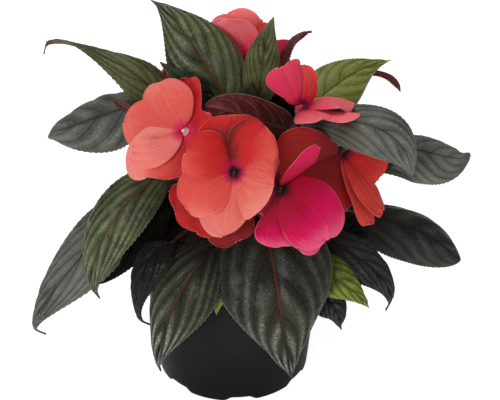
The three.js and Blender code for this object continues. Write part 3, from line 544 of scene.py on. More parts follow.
def surface(blade, u, t):
    """The middle surface of a blade, between its front and its back."""
    width = outline(t, blade["widest"], blade["taper"])
    near = np.exp(-((u * width / NOTCH_SPREAD) ** 2))
    dip = blade["notch"] * smoothstep(t, NOTCH_START, 1) * near
    centre = curve_at(blade["spine"], t - dip)[0]
    curl = smoothstep(t, HOOK_START, 1) ** 2
    centre = centre + array(blade["hook"]) * curl[..., None]
    along = curve_at(blade["spine"], t)[1]
    base_face = unit(blade["face"])
    tip_face = unit(blade.get("face_tip", blade["face"]))
    face = base_face * (1 - t[..., None]) + tip_face * t[..., None]
    side = unit(np.cross(along, face))
    up = np.cross(side, along)
    fold = math.radians(blade["fold"])
    arch = math.radians(blade["arch"])
    reach = blade["half"] * width
    across = reach * np.sin(arch * np.abs(u)) / arch
    drop = reach * (1 - np.cos(arch * u)) / arch
    sideways = across * math.cos(fold) + drop * math.sin(fold)
    lift = across * math.sin(fold) - drop * math.cos(fold)
    turn = 2 * math.pi * blade["waves"] * t + np.where(u < 0, 0, WAVE_LAG) + blade["phase"]
    wave = blade["wave"] * u * u * t * np.sin(turn)
    return centre + side * (np.sign(u) * sideways)[..., None] + up * (lift + wave)[..., None]


def normals_of(points):
    across = np.gradient(points, axis=1)
    along = np.gradient(points, axis=0)
    return unit(np.cross(across, along))


def vein_count(leaf, u, t):
    """Counts the side veins from the base, whole on each; they sweep up along the margin."""
    away = np.abs(u)
    climb = VEIN_LEAN * away + leaf["sweep"] * away**2
    uneven = VEIN_WANDER * np.sin(7 * t + 3 * u)
    return leaf["veins"] * (t - climb) + uneven + np.where(u > 0, VEIN_STAGGER, 0)


def leaf_relief(count, u, t):
    """Pillows between sunken side veins, and a grooved midrib."""
    away = np.abs(u)
    distance = 1 - 2 * np.abs(count % 1 - 0.5)
    calm = smoothstep(t, *RELIEF_START) * (1 - smoothstep(t, *RELIEF_END))
    inner = smoothstep(away, *PILLOW_START) * (1 - smoothstep(away, *PILLOW_END))
    pillow = QUILT_HEIGHT * (1 - (1 - distance) ** 2) * inner * calm
    midrib = MIDRIB_DEPTH * np.exp(-((u / MIDRIB_SPREAD) ** 2)) * calm
    return pillow - midrib


def petal_relief(petal, u, t):
    """A soft crease, fine fanning veins and a frill that grows towards the rim."""
    turn = petal["phase"]
    crease = CREASE_DEPTH * np.exp(-((u / CREASE_SPREAD) ** 2)) * smoothstep(t, 0.1, 0.4)
    fan = FAN_HEIGHT * np.sin(FAN_LINES * u + turn) * smoothstep(t, 0.15, 0.5)
    rim = np.maximum(smoothstep(np.abs(u), 0.6, 1), smoothstep(t, 0.75, 1))
    frill = FRILL_HEIGHT * np.sin(13 * t + 2.6 * u + turn)
    frill += FINE_FRILL_HEIGHT * np.sin(9 * u - 2 * turn + 4 * t)
    return fan - crease + frill * rim * smoothstep(t, 0.2, 0.6)


def thick_skin(skin, middle, thickness, place, front_slot, back_slot):
    """Closes a grid of points into a thin solid with a front, a back and a margin."""
    rows, columns = middle.shape[:2]
    normals = normals_of(middle)
    half = np.broadcast_to(thickness, (rows, columns))[..., None] / 2
    front = (middle + normals * half).reshape(-1, 3)
    back = (middle - normals * half).reshape(-1, 3)
    count = rows * columns
    front_faces = grid_faces(rows, columns)
    back_faces = [tuple(count + corner for corner in reversed(face)) for face in front_faces]
    ring = list(range(columns))
    ring += [row * columns + columns - 1 for row in range(1, rows)]
    ring += [(rows - 1) * columns + column for column in range(columns - 2, -1, -1)]
    ring += [row * columns for row in range(rows - 2, 0, -1)]
    margin = []
    for i, corner in enumerate(ring):
        after = ring[(i + 1) % len(ring)]
        margin.append((after, corner, count + corner, count + after))
    slots = [front_slot] * (len(front_faces) + len(margin)) + [back_slot] * len(back_faces)
    faces = front_faces + margin + back_faces
    skin.add(np.concatenate((front, back)), faces, slots, np.tile(place, (2, 1)))


def blade_grid(shares, columns):
    """t and u of a blade's grid of points: its rows stand at these shares of its length."""
    along = BLADE_START + (BLADE_END - BLADE_START) * shares
    across = np.linspace(-1, 1, columns + 1)
    across = np.sort(np.concatenate((across, (-MARGIN_COLUMN, MARGIN_COLUMN))))
    return np.meshgrid(along, across, indexing="ij")


def place_of(u, t, third, fourth):
    """The numbers that Material.place reads, all between 0 and 1."""
    return np.stack((u * 0.5 + 0.5, t, third, fourth), -1).reshape(-1, 4)


def add_leaf(skin, leaf, front_slot, back_slot):
    """A toothed leaf: each tooth rises slowly along the margin and ends at once."""
    rows = TEETH * ROWS_A_TOOTH + 1
    t, u = blade_grid(np.linspace(0, 1, rows), LEAF_COLUMNS)
    saw = (np.arange(rows) % ROWS_A_TOOTH) / (ROWS_A_TOOTH - 1)
    tooth = TOOTH_REACH / leaf["half"] * saw[:, None] ** 2 * smoothstep(np.abs(u), TOOTH_START, 1)
    middle = surface(leaf, u + np.sign(u) * tooth, t)
    small = min(1, leaf["half"] / FULL_RELIEF_HALF)
    count = vein_count(leaf, u, t)
    relief = leaf_relief(count, u, t) * small * leaf["quilt"]
    middle = middle + normals_of(middle) * relief[..., None]
    rib = MIDRIB_THICKNESS * np.exp(-((u / MIDRIB_BACK_SPREAD) ** 2)) * (1 - t) * small
    thickness = (LEAF_THICKNESS + rib) * (1 - MARGIN_THINNING * smoothstep(np.abs(u), 0.8, 1))
    # Painted shade over the base, fading towards the tip and darker on one side by tilt
    painted_shade = np.clip(PAINTED_SHADE_STRENGTH * leaf["painted_base_shade"] - leaf["fade"] * t + leaf["tilt"] * u, 0, 1)
    place = place_of(u, t, painted_shade, 0.5 + 0.5 * count / VEIN_LIMIT)
    thick_skin(skin, middle, thickness, place, front_slot, back_slot)


def open_petals(bloom):
    """Five petals set evenly round an eye: one at the top, two at the sides and two below."""
    axis = unit(bloom["facing"])
    up = upward(axis)
    right = np.cross(up, axis)
    petals = []
    for turn, length, half in OPEN_PETALS:
        angle = math.radians(turn)
        outward = right * math.cos(angle) + up * math.sin(angle)
        tip = bloom["eye"] + outward * length * bloom["size"]
        petals.append(petal_to(tip, half * bloom["size"], 0.6))
    return petals


def petal_shape(bloom, petal, index):
    """A petal rises from the throat, bows forward, bends to one side and ends at its tip."""
    eye = array(bloom["eye"])
    facing = unit(bloom["facing"])
    tip = array(petal["tip"])
    outward = unit(tip - eye)
    side = unit(np.cross(outward, facing))
    base = eye - PETAL_ROOT_DEPTH * facing + PETAL_RING_RADIUS * outward
    shape = {"face": bloom["facing"], "phase": PETAL_PHASE_STEP * index, **petal}
    swell = shape["bow"] * facing + shape["bend"] * side
    shares = (0, 1 / 3, 2 / 3, 1)
    shape["spine"] = [base + (tip - base) * s + swell * 4 * s * (1 - s) for s in shares]
    return shape


def add_petal(skin, bloom, petal, index, slot):
    shape = petal_shape(bloom, petal, index)
    shares = np.sin(np.linspace(0, math.pi / 2, PETAL_ROWS + 1))
    t, u = blade_grid(shares, PETAL_COLUMNS)
    middle = surface(shape, u, t)
    middle = middle + normals_of(middle) * petal_relief(shape, u, t)[..., None]
    # Painted light and shade with the petal's own tone, changing along it by rise and across it by lean
    tone_and_painted_light = shape["tone_and_painted_light"] + shape["rise"] * (t - 0.5) + shape["lean"] * u
    from_eye = np.linalg.norm(middle - array(bloom["eye"]), axis=-1) / EYE_REACH
    place = place_of(u, t, np.clip(tone_and_painted_light, 0, 1), np.clip(from_eye, 0, 1))
    thick_skin(skin, middle, PETAL_THICKNESS, place, slot, slot)


# Stems and stalks


def smooth_path(points, steps):
    """A smooth curve through the points, evenly timed by the root of their spacing."""
    points = [array(point) for point in points]
    ends = [2 * points[0] - points[1]] + points + [2 * points[-1] - points[-2]]
    path = []
    for i in range(len(points) - 1):
        p0, p1, p2, p3 = ends[i : i + 4]
        t1 = max(np.linalg.norm(p1 - p0), 1e-6) ** 0.5
        t2 = t1 + max(np.linalg.norm(p2 - p1), 1e-6) ** 0.5
        t3 = t2 + max(np.linalg.norm(p3 - p2), 1e-6) ** 0.5
        for step in range(steps):
            t = t1 + (t2 - t1) * step / steps
            a = p0 + (p1 - p0) * t / t1
            b = p1 + (p2 - p1) * (t - t1) / (t2 - t1)
            c = p2 + (p3 - p2) * (t - t2) / (t3 - t2)
            d = a + (b - a) * t / t2
            e = b + (c - b) * (t - t1) / (t3 - t1)
            path.append(d + (e - d) * (t - t1) / (t2 - t1))
    path.append(points[-1])
    return array(path)


def point_on(path, share):
    """The point at a share of the way along the path's steps."""
    place = share * (len(path) - 1)
    low = min(int(place), len(path) - 2)
    return path[low] + (path[low + 1] - path[low]) * (place - low)


def add_tube(skin, path, radii, sides, slot):
    """A round tube along a path, closed at both ends."""
    along = unit(np.gradient(path, axis=0))
    side = unit(np.cross(along[0], TUBE_SEAM))
    turn = np.linspace(0, 2 * math.pi, sides, endpoint=False)[:, None]
    rings = []
    for point, direction, radius in zip(path, along, radii):
        side = unit(side - direction * np.dot(side, direction))
        other = np.cross(direction, side)
        rings.append(point + radius * (np.cos(turn) * side + np.sin(turn) * other))
    vertices = np.concatenate([path[:1]] + rings + [path[-1:]])
    share = np.concatenate(([0], np.repeat(np.linspace(0, 1, len(path)), sides), [1]))
    place = np.stack((np.full_like(share, 0.5), share, share, np.ones_like(share)), -1)
    skin.add(vertices, ring_faces(len(path), sides), slot, place)


def add_stem(skin, path, radius, slot):
    """A tapering stem, swollen at its joints, with its foot in the soil."""
    foot = array([path[0] - (0, 0, depth) for depth in STEM_FOOT_DEPTHS])
    path = np.concatenate((foot, path))
    share = np.linspace(0, 1, len(path))
    joints = JOINT_SWELL * np.exp(-(((share * STEM_JOINTS) % 1 - 0.5) / JOINT_SPREAD) ** 2)
    add_tube(skin, path, radius * (np.linspace(*STEM_TAPER, len(path)) + joints), STEM_SIDES, slot)


def add_petiole(skin, stem_path, leaf, slot):
    """A leaf's stalk, which runs a little way into the blade."""
    root = point_on(stem_path, leaf["at"])
    base, inside = curve_at(leaf["spine"], (0, PETIOLE_REACH))[0]
    middle = (root + base) / 2 + (0, 0, PETIOLE_RISE)
    path = smooth_path([root, middle, base, inside], PETIOLE_STEPS)
    radii = PETIOLE_RADIUS * np.linspace(*PETIOLE_TAPER, len(path))
    add_tube(skin, path, radii, STALK_SIDES, slot)


def add_pedicel(skin, stem_path, bloom, slot):
    """A flower's stalk, which ends in the knob behind its petals."""
    root = point_on(stem_path, bloom["at"])
    facing = unit(bloom["facing"])
    end = array(bloom["eye"]) - facing * (KNOB_LENGTH - PEDICEL_OVERLAP)
    before = end - facing * PEDICEL_END_LENGTH
    middle = root + (before - root) * PEDICEL_MIDDLE + bloom.get("sway", PEDICEL_SWAY)
    path = smooth_path([root, middle, before, end], PEDICEL_STEPS)
    radii = PEDICEL_RADIUS * np.linspace(*PEDICEL_TAPER, len(path))
    add_tube(skin, path, radii, STALK_SIDES, slot)


def add_heart(skin, bloom, calyx_slot, column_slot):
    """The calyx behind the petals, and the short column that stands in the throat's cup."""
    eye = array(bloom["eye"])
    facing = unit(bloom["facing"])
    share = np.linspace(0, 1, HEART_STEPS)
    length = KNOB_LENGTH - CALYX_DEPTH
    path = eye - facing * KNOB_LENGTH + facing * length * share[:, None]
    radii = KNOB_NECK_RADIUS + KNOB_SWELL * np.sin(math.pi * (0.05 + 0.8 * share))
    add_tube(skin, path, radii, KNOB_SIDES, calyx_slot)
    lean = COLUMN_LEAN * np.sin(share * 2.4)[:, None] * upward(facing)
    path = eye - facing * CALYX_DEPTH + facing * COLUMN_LENGTH * share[:, None] + lean
    swell = np.sqrt(np.clip(np.sin(math.pi * (0.12 + 0.86 * share)), 0, 1))
    throat = THROAT_RADIUS * np.exp(-(((share - THROAT_SHARE) / THROAT_SPREAD) ** 4))
    radii = np.maximum(COLUMN_TIP_RADIUS + COLUMN_SWELL * swell, throat)
    add_tube(skin, path, radii, COLUMN_SIDES, column_slot)


# Pot


def notch_rise(angle):
    """How far the foot is raised at an angle: sloping-sided gaps spaced evenly round it."""
    spacing = 360 / DRAIN_COUNT
    away = (math.degrees(angle) - FRONT_NOTCH_DEGREES + spacing / 2) % spacing - spacing / 2
    share = (NOTCH_HALF_DEGREES - abs(away)) / NOTCH_SLOPE_DEGREES
    return NOTCH_HEIGHT * min(max(share, 0), 1)


def wall_radius(height):
    return BASE_RADIUS + (WALL_TOP_RADIUS - BASE_RADIUS) * height / LIP_BOTTOM


def rounded(radius, height, *offsets):
    """Points of the profile that round one of its corners, as offsets from it."""
    return [(radius + out, height + up) for out, up in offsets]


def pot_profile(angle):
    """Radius and height, from the base's centre out, up the wall and back along the floor."""
    floor_top = FLOOR_LIFT + WALL
    rise = notch_rise(angle)
    under = [(0, 0)]
    under += rounded(CENTRE_DISC_RADIUS, 0, (-1, 0), (0, 0.3))
    under += rounded(CENTRE_DISC_RADIUS + 3.6, FLOOR_LIFT, (-0.8, -0.3), (0, 0))
    under += rounded(FOOT_INNER_RADIUS - 1.8, FLOOR_LIFT, (-0.4, 0), (0, -0.4))
    foot = rounded(FOOT_INNER_RADIUS, 0, (-1, 1.2), (-0.4, 0.3), (0, 0))
    foot += rounded(BASE_RADIUS, 0, (-1, 0), (-0.4, 0.15), (-0.05, 0.6), (0.05, 1.1))
    foot = [(radius, max(height, rise)) for radius, height in foot]
    wall = [(wall_radius(height), height) for height in (3.6, 6, 20, 40, 60, 80, 86)]
    lip = rounded(WALL_TOP_RADIUS, LIP_BOTTOM, (-0.1, -2.4), (0.5, -1.6))
    lip += rounded(LIP_RADIUS, LIP_BOTTOM, (-1, -0.6), (-0.5, 0.1), (-0.4, 1))
    lip += rounded(LIP_RADIUS, POT_HEIGHT, (0, -1.2), (-0.2, -0.4), (-0.7, 0), (-1.1, -0.1))
    inside = [
        (LIP_RADIUS - WALL, POT_HEIGHT - 0.6),
        (LIP_RADIUS - WALL - 0.8, LIP_BOTTOM + 1),
        (WALL_TOP_RADIUS - WALL, LIP_BOTTOM - 3),
        (wall_radius(floor_top) - WALL, floor_top),
        (CENTRE_DISC_RADIUS + 2, floor_top),
        (CENTRE_DISC_RADIUS - 1, WALL),
        (0, WALL),
    ]
    return under + foot + wall + lip + inside


def turned(profile_at, segments):
    """A profile turned about the axis; its first and last points are on the axis."""
    angles = 2 * math.pi * np.arange(segments) / segments
    profiles = array([profile_at(angle) for angle in angles])
    radius = profiles[..., :1]
    turn = np.stack((np.cos(angles), np.sin(angles)), -1)[:, None]
    points = np.concatenate((radius * turn, profiles[..., 1:]), -1)
    rings = points[:, 1:-1].transpose(1, 0, 2)
    vertices = np.concatenate((points[0, :1], rings.reshape(-1, 3), points[0, -1:]))
    return vertices, ring_faces(len(rings), segments)


def drain_cutter():
    """All the drain holes as one object, which cuts the pot's floor and is then deleted."""
    skin = Skin()
    for index in range(DRAIN_COUNT):
        angle = math.radians(FRONT_NOTCH_DEGREES + 360 * (index + 0.5) / DRAIN_COUNT)
        centre = DRAIN_CIRCLE_RADIUS * array((math.cos(angle), math.sin(angle), 0))
        path = centre + array([(0, 0, -FLOOR_LIFT), (0, 0, 3 * FLOOR_LIFT)])
        add_tube(skin, path, (DRAIN_RADIUS, DRAIN_RADIUS), DRAIN_SEGMENTS, 0)
    return new_object("drain_cutter", skin.mesh("drain_cutter"))


def cut(piece, cutter):
    modifier = piece.modifiers.new("cut", "BOOLEAN")
    modifier.operation = "DIFFERENCE"
    modifier.solver = "EXACT"
    modifier.object = cutter
    shapes = bpy.context.evaluated_depsgraph_get()
    shaped = bpy.data.meshes.new_from_object(piece.evaluated_get(shapes))
    piece.modifiers.clear()
    piece.data = shaped
    bpy.data.objects.remove(cutter)


def make_pot():
    skin = Skin()
    skin.add(*turned(pot_profile, POT_SEGMENTS))
    pot = skin.make("pot_moulded", [pot_plastic()], "pot", "pot")
    cut(pot, drain_cutter())


# Soil


def soil_height(x, y):
    """A low mound with lumps, which are level where the soil meets the pot."""
    away = math.hypot(x, y)
    rim = WALL_TOP_RADIUS - WALL
    mound = SOIL_MOUND * (1 - smoothstep(away, *SOIL_MOUND_RADII))
    lumps = 0
    for height, *waves in SOIL_WAVES:
        for along_x, along_y, start in waves:
            height *= math.sin(along_x * x + along_y * y + start)
        lumps += height
    return SOIL_TOP + mound + lumps * (1 - smoothstep(away, rim - SOIL_LUMPY_MARGIN, rim))


def make_soil():
    """The potting soil fills the pot and ends in a crumbly mound."""
    rim = WALL_TOP_RADIUS - WALL - SOIL_GAP
    floor_top = FLOOR_LIFT + WALL + SOIL_LIFT
    floor_radius = wall_radius(floor_top) - WALL - SOIL_GAP

    def profile_at(angle):
        profile = [(0, floor_top), (floor_radius, floor_top), (rim, SOIL_TOP - SOIL_SHOULDER)]
        for ring in range(SOIL_RINGS + 1):
            radius = rim * (1 - ring / SOIL_RINGS)
            height = soil_height(radius * math.cos(angle), radius * math.sin(angle))
            profile.append((radius, height))
        return profile

    skin = Skin()
    skin.add(*turned(profile_at, SOIL_SEGMENTS))
    add_crumbs(skin, rim)
    skin.make("soil_crumbly", [soil_earth(), perlite()], "soil", "soil")


def add_crumbs(skin, rim):
    """Loose crumbs of peat and a few white grains of perlite, half sunk in the soil."""
    random = np.random.default_rng(CRUMB_SEED)
    share = np.linspace(-1, 1, CRUMB_RINGS)
    for index in range(CRUMB_COUNT):
        angle = random.uniform(0, 2 * math.pi)
        radius = (rim - CRUMB_MARGIN) * math.sqrt(random.uniform(0.02, 1))
        x, y = radius * math.cos(angle), radius * math.sin(angle)
        size = random.uniform(*CRUMB_SIZES)
        centre = array((x, y, soil_height(x, y) + CRUMB_LIFT * size))
        stretch = random.uniform(*CRUMB_STRETCHES, 3)
        path = centre + array((0, 0, 1)) * share[:, None] * size * stretch[2]
        radii = size * stretch[0] * np.sqrt(np.clip(1 - share**2, 0.05, 1))
        lumpy = radii * random.uniform(*CRUMB_LUMPS, CRUMB_RINGS)
        add_tube(skin, path, lumpy, CRUMB_SIDES, 1 if index % PERLITE_EVERY == 0 else 0)


# Materials


def colour(red, green, blue):
    """A screen colour, 0 to 255, as linear light."""
    channels = [channel / 255 for channel in (red, green, blue)]
    linear = [c / 12.92 if c <= 0.04045 else ((c + 0.055) / 1.055) ** 2.4 for c in channels]
    return (*linear, 1)


class Material:
    """One procedural material on a principled shader. Its flesh is the colour mixed so far."""

    def __init__(self, name):
        self.material = bpy.data.materials.new(name)
        self.material.use_nodes = True
        self.tree = self.material.node_tree
        self.spot = self.node("TexCoord").outputs["Object"]
        self.flesh = None

    def feed(self, node, values):
        """Links or sets a node's inputs by number or name, with underscores for spaces."""
        for key, value in values.items():
            socket = node.inputs[key.replace("_", " ") if isinstance(key, str) else key]
            if isinstance(value, bpy.types.NodeSocket):
                self.tree.links.new(value, socket)
            else:
                socket.default_value = value

    def node(self, kind, **inputs):
        node = self.tree.nodes.new("ShaderNode" + kind)
        self.feed(node, inputs)
        return node

    def math(self, operation, a, b=0):
        node = self.node("Math")
        node.operation = operation
        self.feed(node, {0: a, 1: b})
        return node.outputs[0]

    def times(self, product, *factors):
        for factor in factors:
            product = self.math("MULTIPLY", product, factor)
        return product

    def plus(self, total, *terms):
        for term in terms:
            total = self.math("ADD", total, term)
        return total

    def ramp(self, value, low, high, start=0, end=1):
        """Goes smoothly from start to end while the value goes from low to high."""
        node = self.node("MapRange", Value=value, From_Min=low, From_Max=high, To_Min=start, To_Max=end)
        node.interpolation_type = "SMOOTHSTEP"
        return node.outputs["Result"]

    def spread(self, noise, start, end):
        """Spreads a noise, which is mostly between 0.3 and 0.7, from start to end."""
        return self.ramp(noise, 0.3, 0.7, start, end)

    def bell(self, value, width):
        """1 where the value is 0, falling off over the width."""
        share = self.math("DIVIDE", value, width)
        return self.math("EXPONENT", self.times(share, share, -1))

    def paint(self, factor, dark, light):
        """Colours all the flesh, from a dark screen colour to a light one."""
        self.flesh = colour(*dark)
        self.tint(factor, light)

    def tint(self, factor, tone):
        """Covers the flesh with a screen colour, as far as the factor says."""
        node = self.node("Mix")
        node.data_type = "RGBA"
        self.feed(node, {0: factor, 6: self.flesh, 7: colour(*tone)})
        self.flesh = node.outputs[2]

    def noise(self, scale, detail, vector=None, distortion=0):
        vector = vector or self.spot
        node = self.node("TexNoise", Vector=vector, Scale=scale, Detail=detail, Distortion=distortion)
        return node.outputs["Fac"]

    def cells(self, scale):
        """The distance to the edge of the nearest cell."""
        node = self.node("TexVoronoi")
        node.feature = "DISTANCE_TO_EDGE"
        self.feed(node, {"Vector": self.spot, "Scale": scale})
        return node.outputs["Distance"]

    def place(self):
        """The blade's u and t, and the mesh's third and fourth numbers."""
        node = self.node("Attribute")
        node.attribute_name = "place"
        split = self.node("SeparateColor", Color=node.outputs["Color"])
        u = self.plus(self.times(split.outputs["Red"], 2), -1)
        return u, split.outputs["Green"], split.outputs["Blue"], node.outputs["Alpha"]

    def bump(self, height, relief):
        """Height 1 stands the relief, in millimetres, above height 0."""
        return self.node("Bump", Height=height, Distance=relief * MM, Strength=1).outputs["Normal"]

    def finish(self, rough, **sockets):
        """Sets the shader's colour, its roughness and its other sockets."""
        sockets = dict(Base_Color=self.flesh, Roughness=rough, **sockets)
        self.feed(self.tree.nodes["Principled BSDF"], sockets)
        return self.material


# Colours of a leaf's upper side: its flesh where dark and where light, the painted highlight on the
# crests between its veins, the veins and the midrib; then how rough it is, and its gloss and where
# along the blade the painted highlight on its crests grows to full, if not as usual
LEAF_LOOKS = {
    # inner is a near-black copy of the other looks: painted shade for leaves deep inside the plant
    "inner": ((10, 11, 9), (18, 19, 15), (26, 27, 22), (9, 8, 7), (34, 18, 15), 0.5, 0.04),
    "dark": ((31, 32, 28), (47, 48, 43), (82, 83, 79), (14, 13, 11), (62, 28, 24), 0.4),
    "gloss": (
        (33, 35, 22), (50, 50, 36), (180, 183, 174), (14, 13, 8), (118, 44, 32), 0.34, 0.12, (0.4, 0.8),
    ),
    "deep": ((38, 42, 26), (58, 62, 45), (88, 91, 78), (18, 17, 12), (76, 36, 28), 0.4),
    "sheen": ((50, 57, 28), (80, 86, 52), (150, 154, 138), (30, 28, 15), (122, 50, 38), 0.38),
    "olive": ((66, 72, 38), (100, 104, 66), (134, 136, 116), (44, 41, 24), (98, 48, 36), 0.4),
    "grey": ((72, 76, 68), (96, 99, 91), (134, 136, 130), (36, 36, 30), (58, 46, 38), 0.46, 0.1),
    "wine": ((70, 18, 18), (96, 30, 28), (112, 52, 48), (96, 44, 40), (110, 50, 44), 0.42, 0.15),
    "yellow": ((98, 105, 36), (132, 138, 66), (150, 156, 104), (72, 64, 30), (112, 58, 40), 0.38),
    "bright": ((84, 98, 24), (118, 136, 42), (150, 164, 96), (48, 60, 14), (118, 130, 60), 0.36, 0.15),
}
GROOVE_COLOUR = (20, 18, 15)
LEAF_RIM_COLOUR = (128, 130, 112)
# Colour of the painted shade over the leaves' bases
PAINTED_SHADE_COLOUR = (13, 12, 9)


def between_veins(leaf, count):
    """From the mesh's count of veins: 0 on a side vein and 1 halfway to the next."""
    phase = leaf.math("FRACT", leaf.times(count, 2 * VEIN_LIMIT))
    away = leaf.math("ABSOLUTE", leaf.math("SUBTRACT", phase, 0.5))
    return leaf.math("SUBTRACT", 1, leaf.times(away, 2))


def leaf_top(name, dark, light, painted_crest_highlight, vein_colour, rib, rough, gloss=0.12, lit=(0.1, 0.6)):
    """Dark veins, painted highlights on the crests between them, a red midrib and a pale margin."""
    leaf = Material("leaf_" + name)
    u, t, painted_shade, count = leaf.place()
    away = leaf.math("ABSOLUTE", u)
    between = between_veins(leaf, count)
    calm = leaf.times(leaf.ramp(away, 1, 0.84), leaf.ramp(t, 0.99, 0.9))
    vein = leaf.times(leaf.bell(between, 0.08), calm)
    network = leaf.ramp(leaf.cells(460), 0.02, 0.28)
    grain = leaf.noise(800, 3)
    # sheen is a painted highlight on the crests between the veins, growing along the blade as lit says
    sheen = leaf.times(
        leaf.ramp(between, 0.35, 0.95),
        calm,
        leaf.ramp(away, 0.03, 0.14),
        leaf.spread(grain, 0.3, 0.9),
        leaf.ramp(network, 0, 1, 0.45, 1),
        leaf.ramp(leaf.noise(60, 3), 0.35, 0.65, 0.45, 1),
        leaf.ramp(t, *lit, 0.3, 1),
    )
    leaf.paint(leaf.ramp(leaf.noise(45, 3, distortion=0.5), 0.35, 0.65), dark, light)
    leaf.tint(sheen, painted_crest_highlight)
    leaf.tint(leaf.times(vein, 0.7), vein_colour)
    leaf.tint(leaf.times(leaf.bell(u, 0.04), 0.6), GROOVE_COLOUR)
    leaf.tint(leaf.times(leaf.bell(u, 0.018), leaf.ramp(t, 0.75, 0.35)), rib)
    leaf.tint(leaf.times(leaf.ramp(away, *MARGIN_LINE), 0.6), LEAF_RIM_COLOUR)
    # Painted shade over the base, which also makes it rougher
    painted_shade = leaf.ramp(painted_shade, 0, 1, 0, 0.88)
    leaf.tint(painted_shade, PAINTED_SHADE_COLOUR)
    uneven = leaf.spread(leaf.noise(160, 3), rough - 0.06, rough + 0.1)
    height = leaf.plus(grain, leaf.times(network, 1.2), leaf.times(vein, -1.5))
    return leaf.finish(
        leaf.plus(uneven, leaf.times(painted_shade, 0.3)),
        Normal=leaf.bump(height, 0.16),
        Specular_IOR_Level=gloss,
        Coat_Weight=gloss,
        Coat_Roughness=0.25,
    )


def leaf_back(name, dark, light, vein_colour):
    leaf = Material("leaf_back_" + name)
    u, _, _, count = leaf.place()
    lines = leaf.math("MAXIMUM", leaf.bell(between_veins(leaf, count), 0.16), leaf.bell(u, 0.05))
    patches = leaf.ramp(leaf.noise(70, 3), 0.35, 0.65)
    leaf.paint(patches, dark, light)
    leaf.tint(leaf.times(lines, 0.8), vein_colour)
    height = leaf.plus(lines, leaf.times(leaf.noise(900, 2), 0.3))
    rough = leaf.ramp(patches, 0, 1, 0.48, 0.6)
    return leaf.finish(rough, Normal=leaf.bump(height, 0.3))


# Petal colours from the darkest to the palest, picked by the petal's own tone mixed with painted
# light and shade, then the ring and the eye in the middle
PETAL_LOOKS = {
    "coral": ((88, 22, 22), (188, 32, 34), (212, 76, 68), (230, 126, 114), (176, 16, 76), (60, 30, 28)),
    "salmon": ((120, 24, 30), (196, 34, 40), (216, 84, 76), (230, 130, 120), (206, 44, 86), (190, 30, 70)),
    "red": ((66, 14, 16), (122, 26, 26), (176, 34, 32), (208, 66, 54), (130, 14, 44), (40, 14, 16)),
    "magenta": ((104, 18, 28), (164, 10, 46), (204, 10, 80), (226, 84, 122), (96, 12, 36), (28, 10, 18)),
    "rose": ((160, 20, 48), (220, 34, 74), (244, 66, 98), (252, 128, 130), (180, 16, 66), (120, 20, 50)),
    "pink": ((124, 18, 34), (176, 26, 56), (212, 50, 84), (240, 110, 116), (160, 16, 66), (120, 20, 50)),
}
PETAL_RIM_COLOUR = (240, 150, 144)


def petal_skin(name, dark, deep, mid, pale, ring, eye):
    """Velvety colour, streaked from the base to the rim, with a ring round the eye. How dark or pale
    it is comes partly from the petal's own tone and partly from painted light and shade.
    """
    petal = Material("petal_" + name)
    u, t, tone_and_painted_light, from_eye = petal.place()
    fan = petal.node("CombineXYZ", X=petal.times(u, 26), Y=t, Z=tone_and_painted_light).outputs[0]
    streaks = petal.noise(1, 3, vector=fan)
    patches = petal.noise(60, 3)
    # The level: the petal's own tone with painted light and shade, streaked and patchy
    level = petal.plus(
        tone_and_painted_light,
        petal.spread(streaks, -0.05, 0.05),
        petal.spread(patches, -0.04, 0.04),
        petal.spread(petal.noise(420, 2), -0.015, 0.015),
    )
    petal.paint(petal.ramp(level, 0, 0.33), dark, deep)
    petal.tint(petal.ramp(level, 0.33, 0.66), mid)
    petal.tint(petal.ramp(level, 0.66, 1), pale)
    ragged = petal.plus(from_eye, petal.spread(streaks, -0.04, 0.04))
    petal.tint(petal.ramp(ragged, 0.44, 0.22, 0, 0.9), ring)
    petal.tint(petal.ramp(ragged, 0.26, 0.14, 0, 0.95), eye)
    away = petal.math("ABSOLUTE", u)
    rim = petal.math("MAXIMUM", petal.ramp(away, *MARGIN_LINE), petal.ramp(t, 0.985, 0.997))
    petal.tint(petal.times(rim, petal.ramp(t, 0.2, 0.5, 0, 0.3)), PETAL_RIM_COLOUR)
    height = petal.plus(petal.times(streaks, 0.5), petal.cells(1500))
    return petal.finish(
        petal.spread(patches, 0.55, 0.68),
        Normal=petal.bump(height, 0.05),
        Specular_IOR_Level=0.12,
        Subsurface_Weight=0.1,
        Subsurface_Radius=(0.004, 0.0012, 0.001),
        Subsurface_Scale=1,
    )


def stem_skin():
    stem = Material("stem_skin")
    share = stem.place()[2]
    blotches = stem.noise(160, 4)
    stem.paint(stem.ramp(blotches, 0.38, 0.66), (52, 16, 24), (92, 40, 34))
    stem.tint(stem.ramp(share, 0.25, 0, 0, 0.5), (72, 74, 44))
    normal = stem.bump(stem.noise(1200, 2), 0.05)
    return stem.finish(stem.spread(blotches, 0.28, 0.4), Normal=normal, Specular_IOR_Level=0.6)


def calyx_skin():
    calyx = Material("calyx_skin")
    streaks = calyx.noise(300, 3)
    calyx.paint(calyx.ramp(streaks, 0.35, 0.65), (96, 40, 40), (112, 98, 58))
    return calyx.finish(calyx.spread(streaks, 0.4, 0.55), Normal=calyx.bump(streaks, 0.1))


def column_skin(name, foot, tip):
    column = Material("column_" + name)
    share = column.place()[2]
    grain = column.noise(900, 2)
    column.paint(column.ramp(share, 0.1, 0.6), foot, tip)
    column.tint(column.ramp(grain, 0.45, 0.7, 0, 0.15), (92, 84, 60))
    normal = column.bump(grain, 0.1)
    return column.finish(column.spread(grain, 0.5, 0.7), Normal=normal, Specular_IOR_Level=0.15)


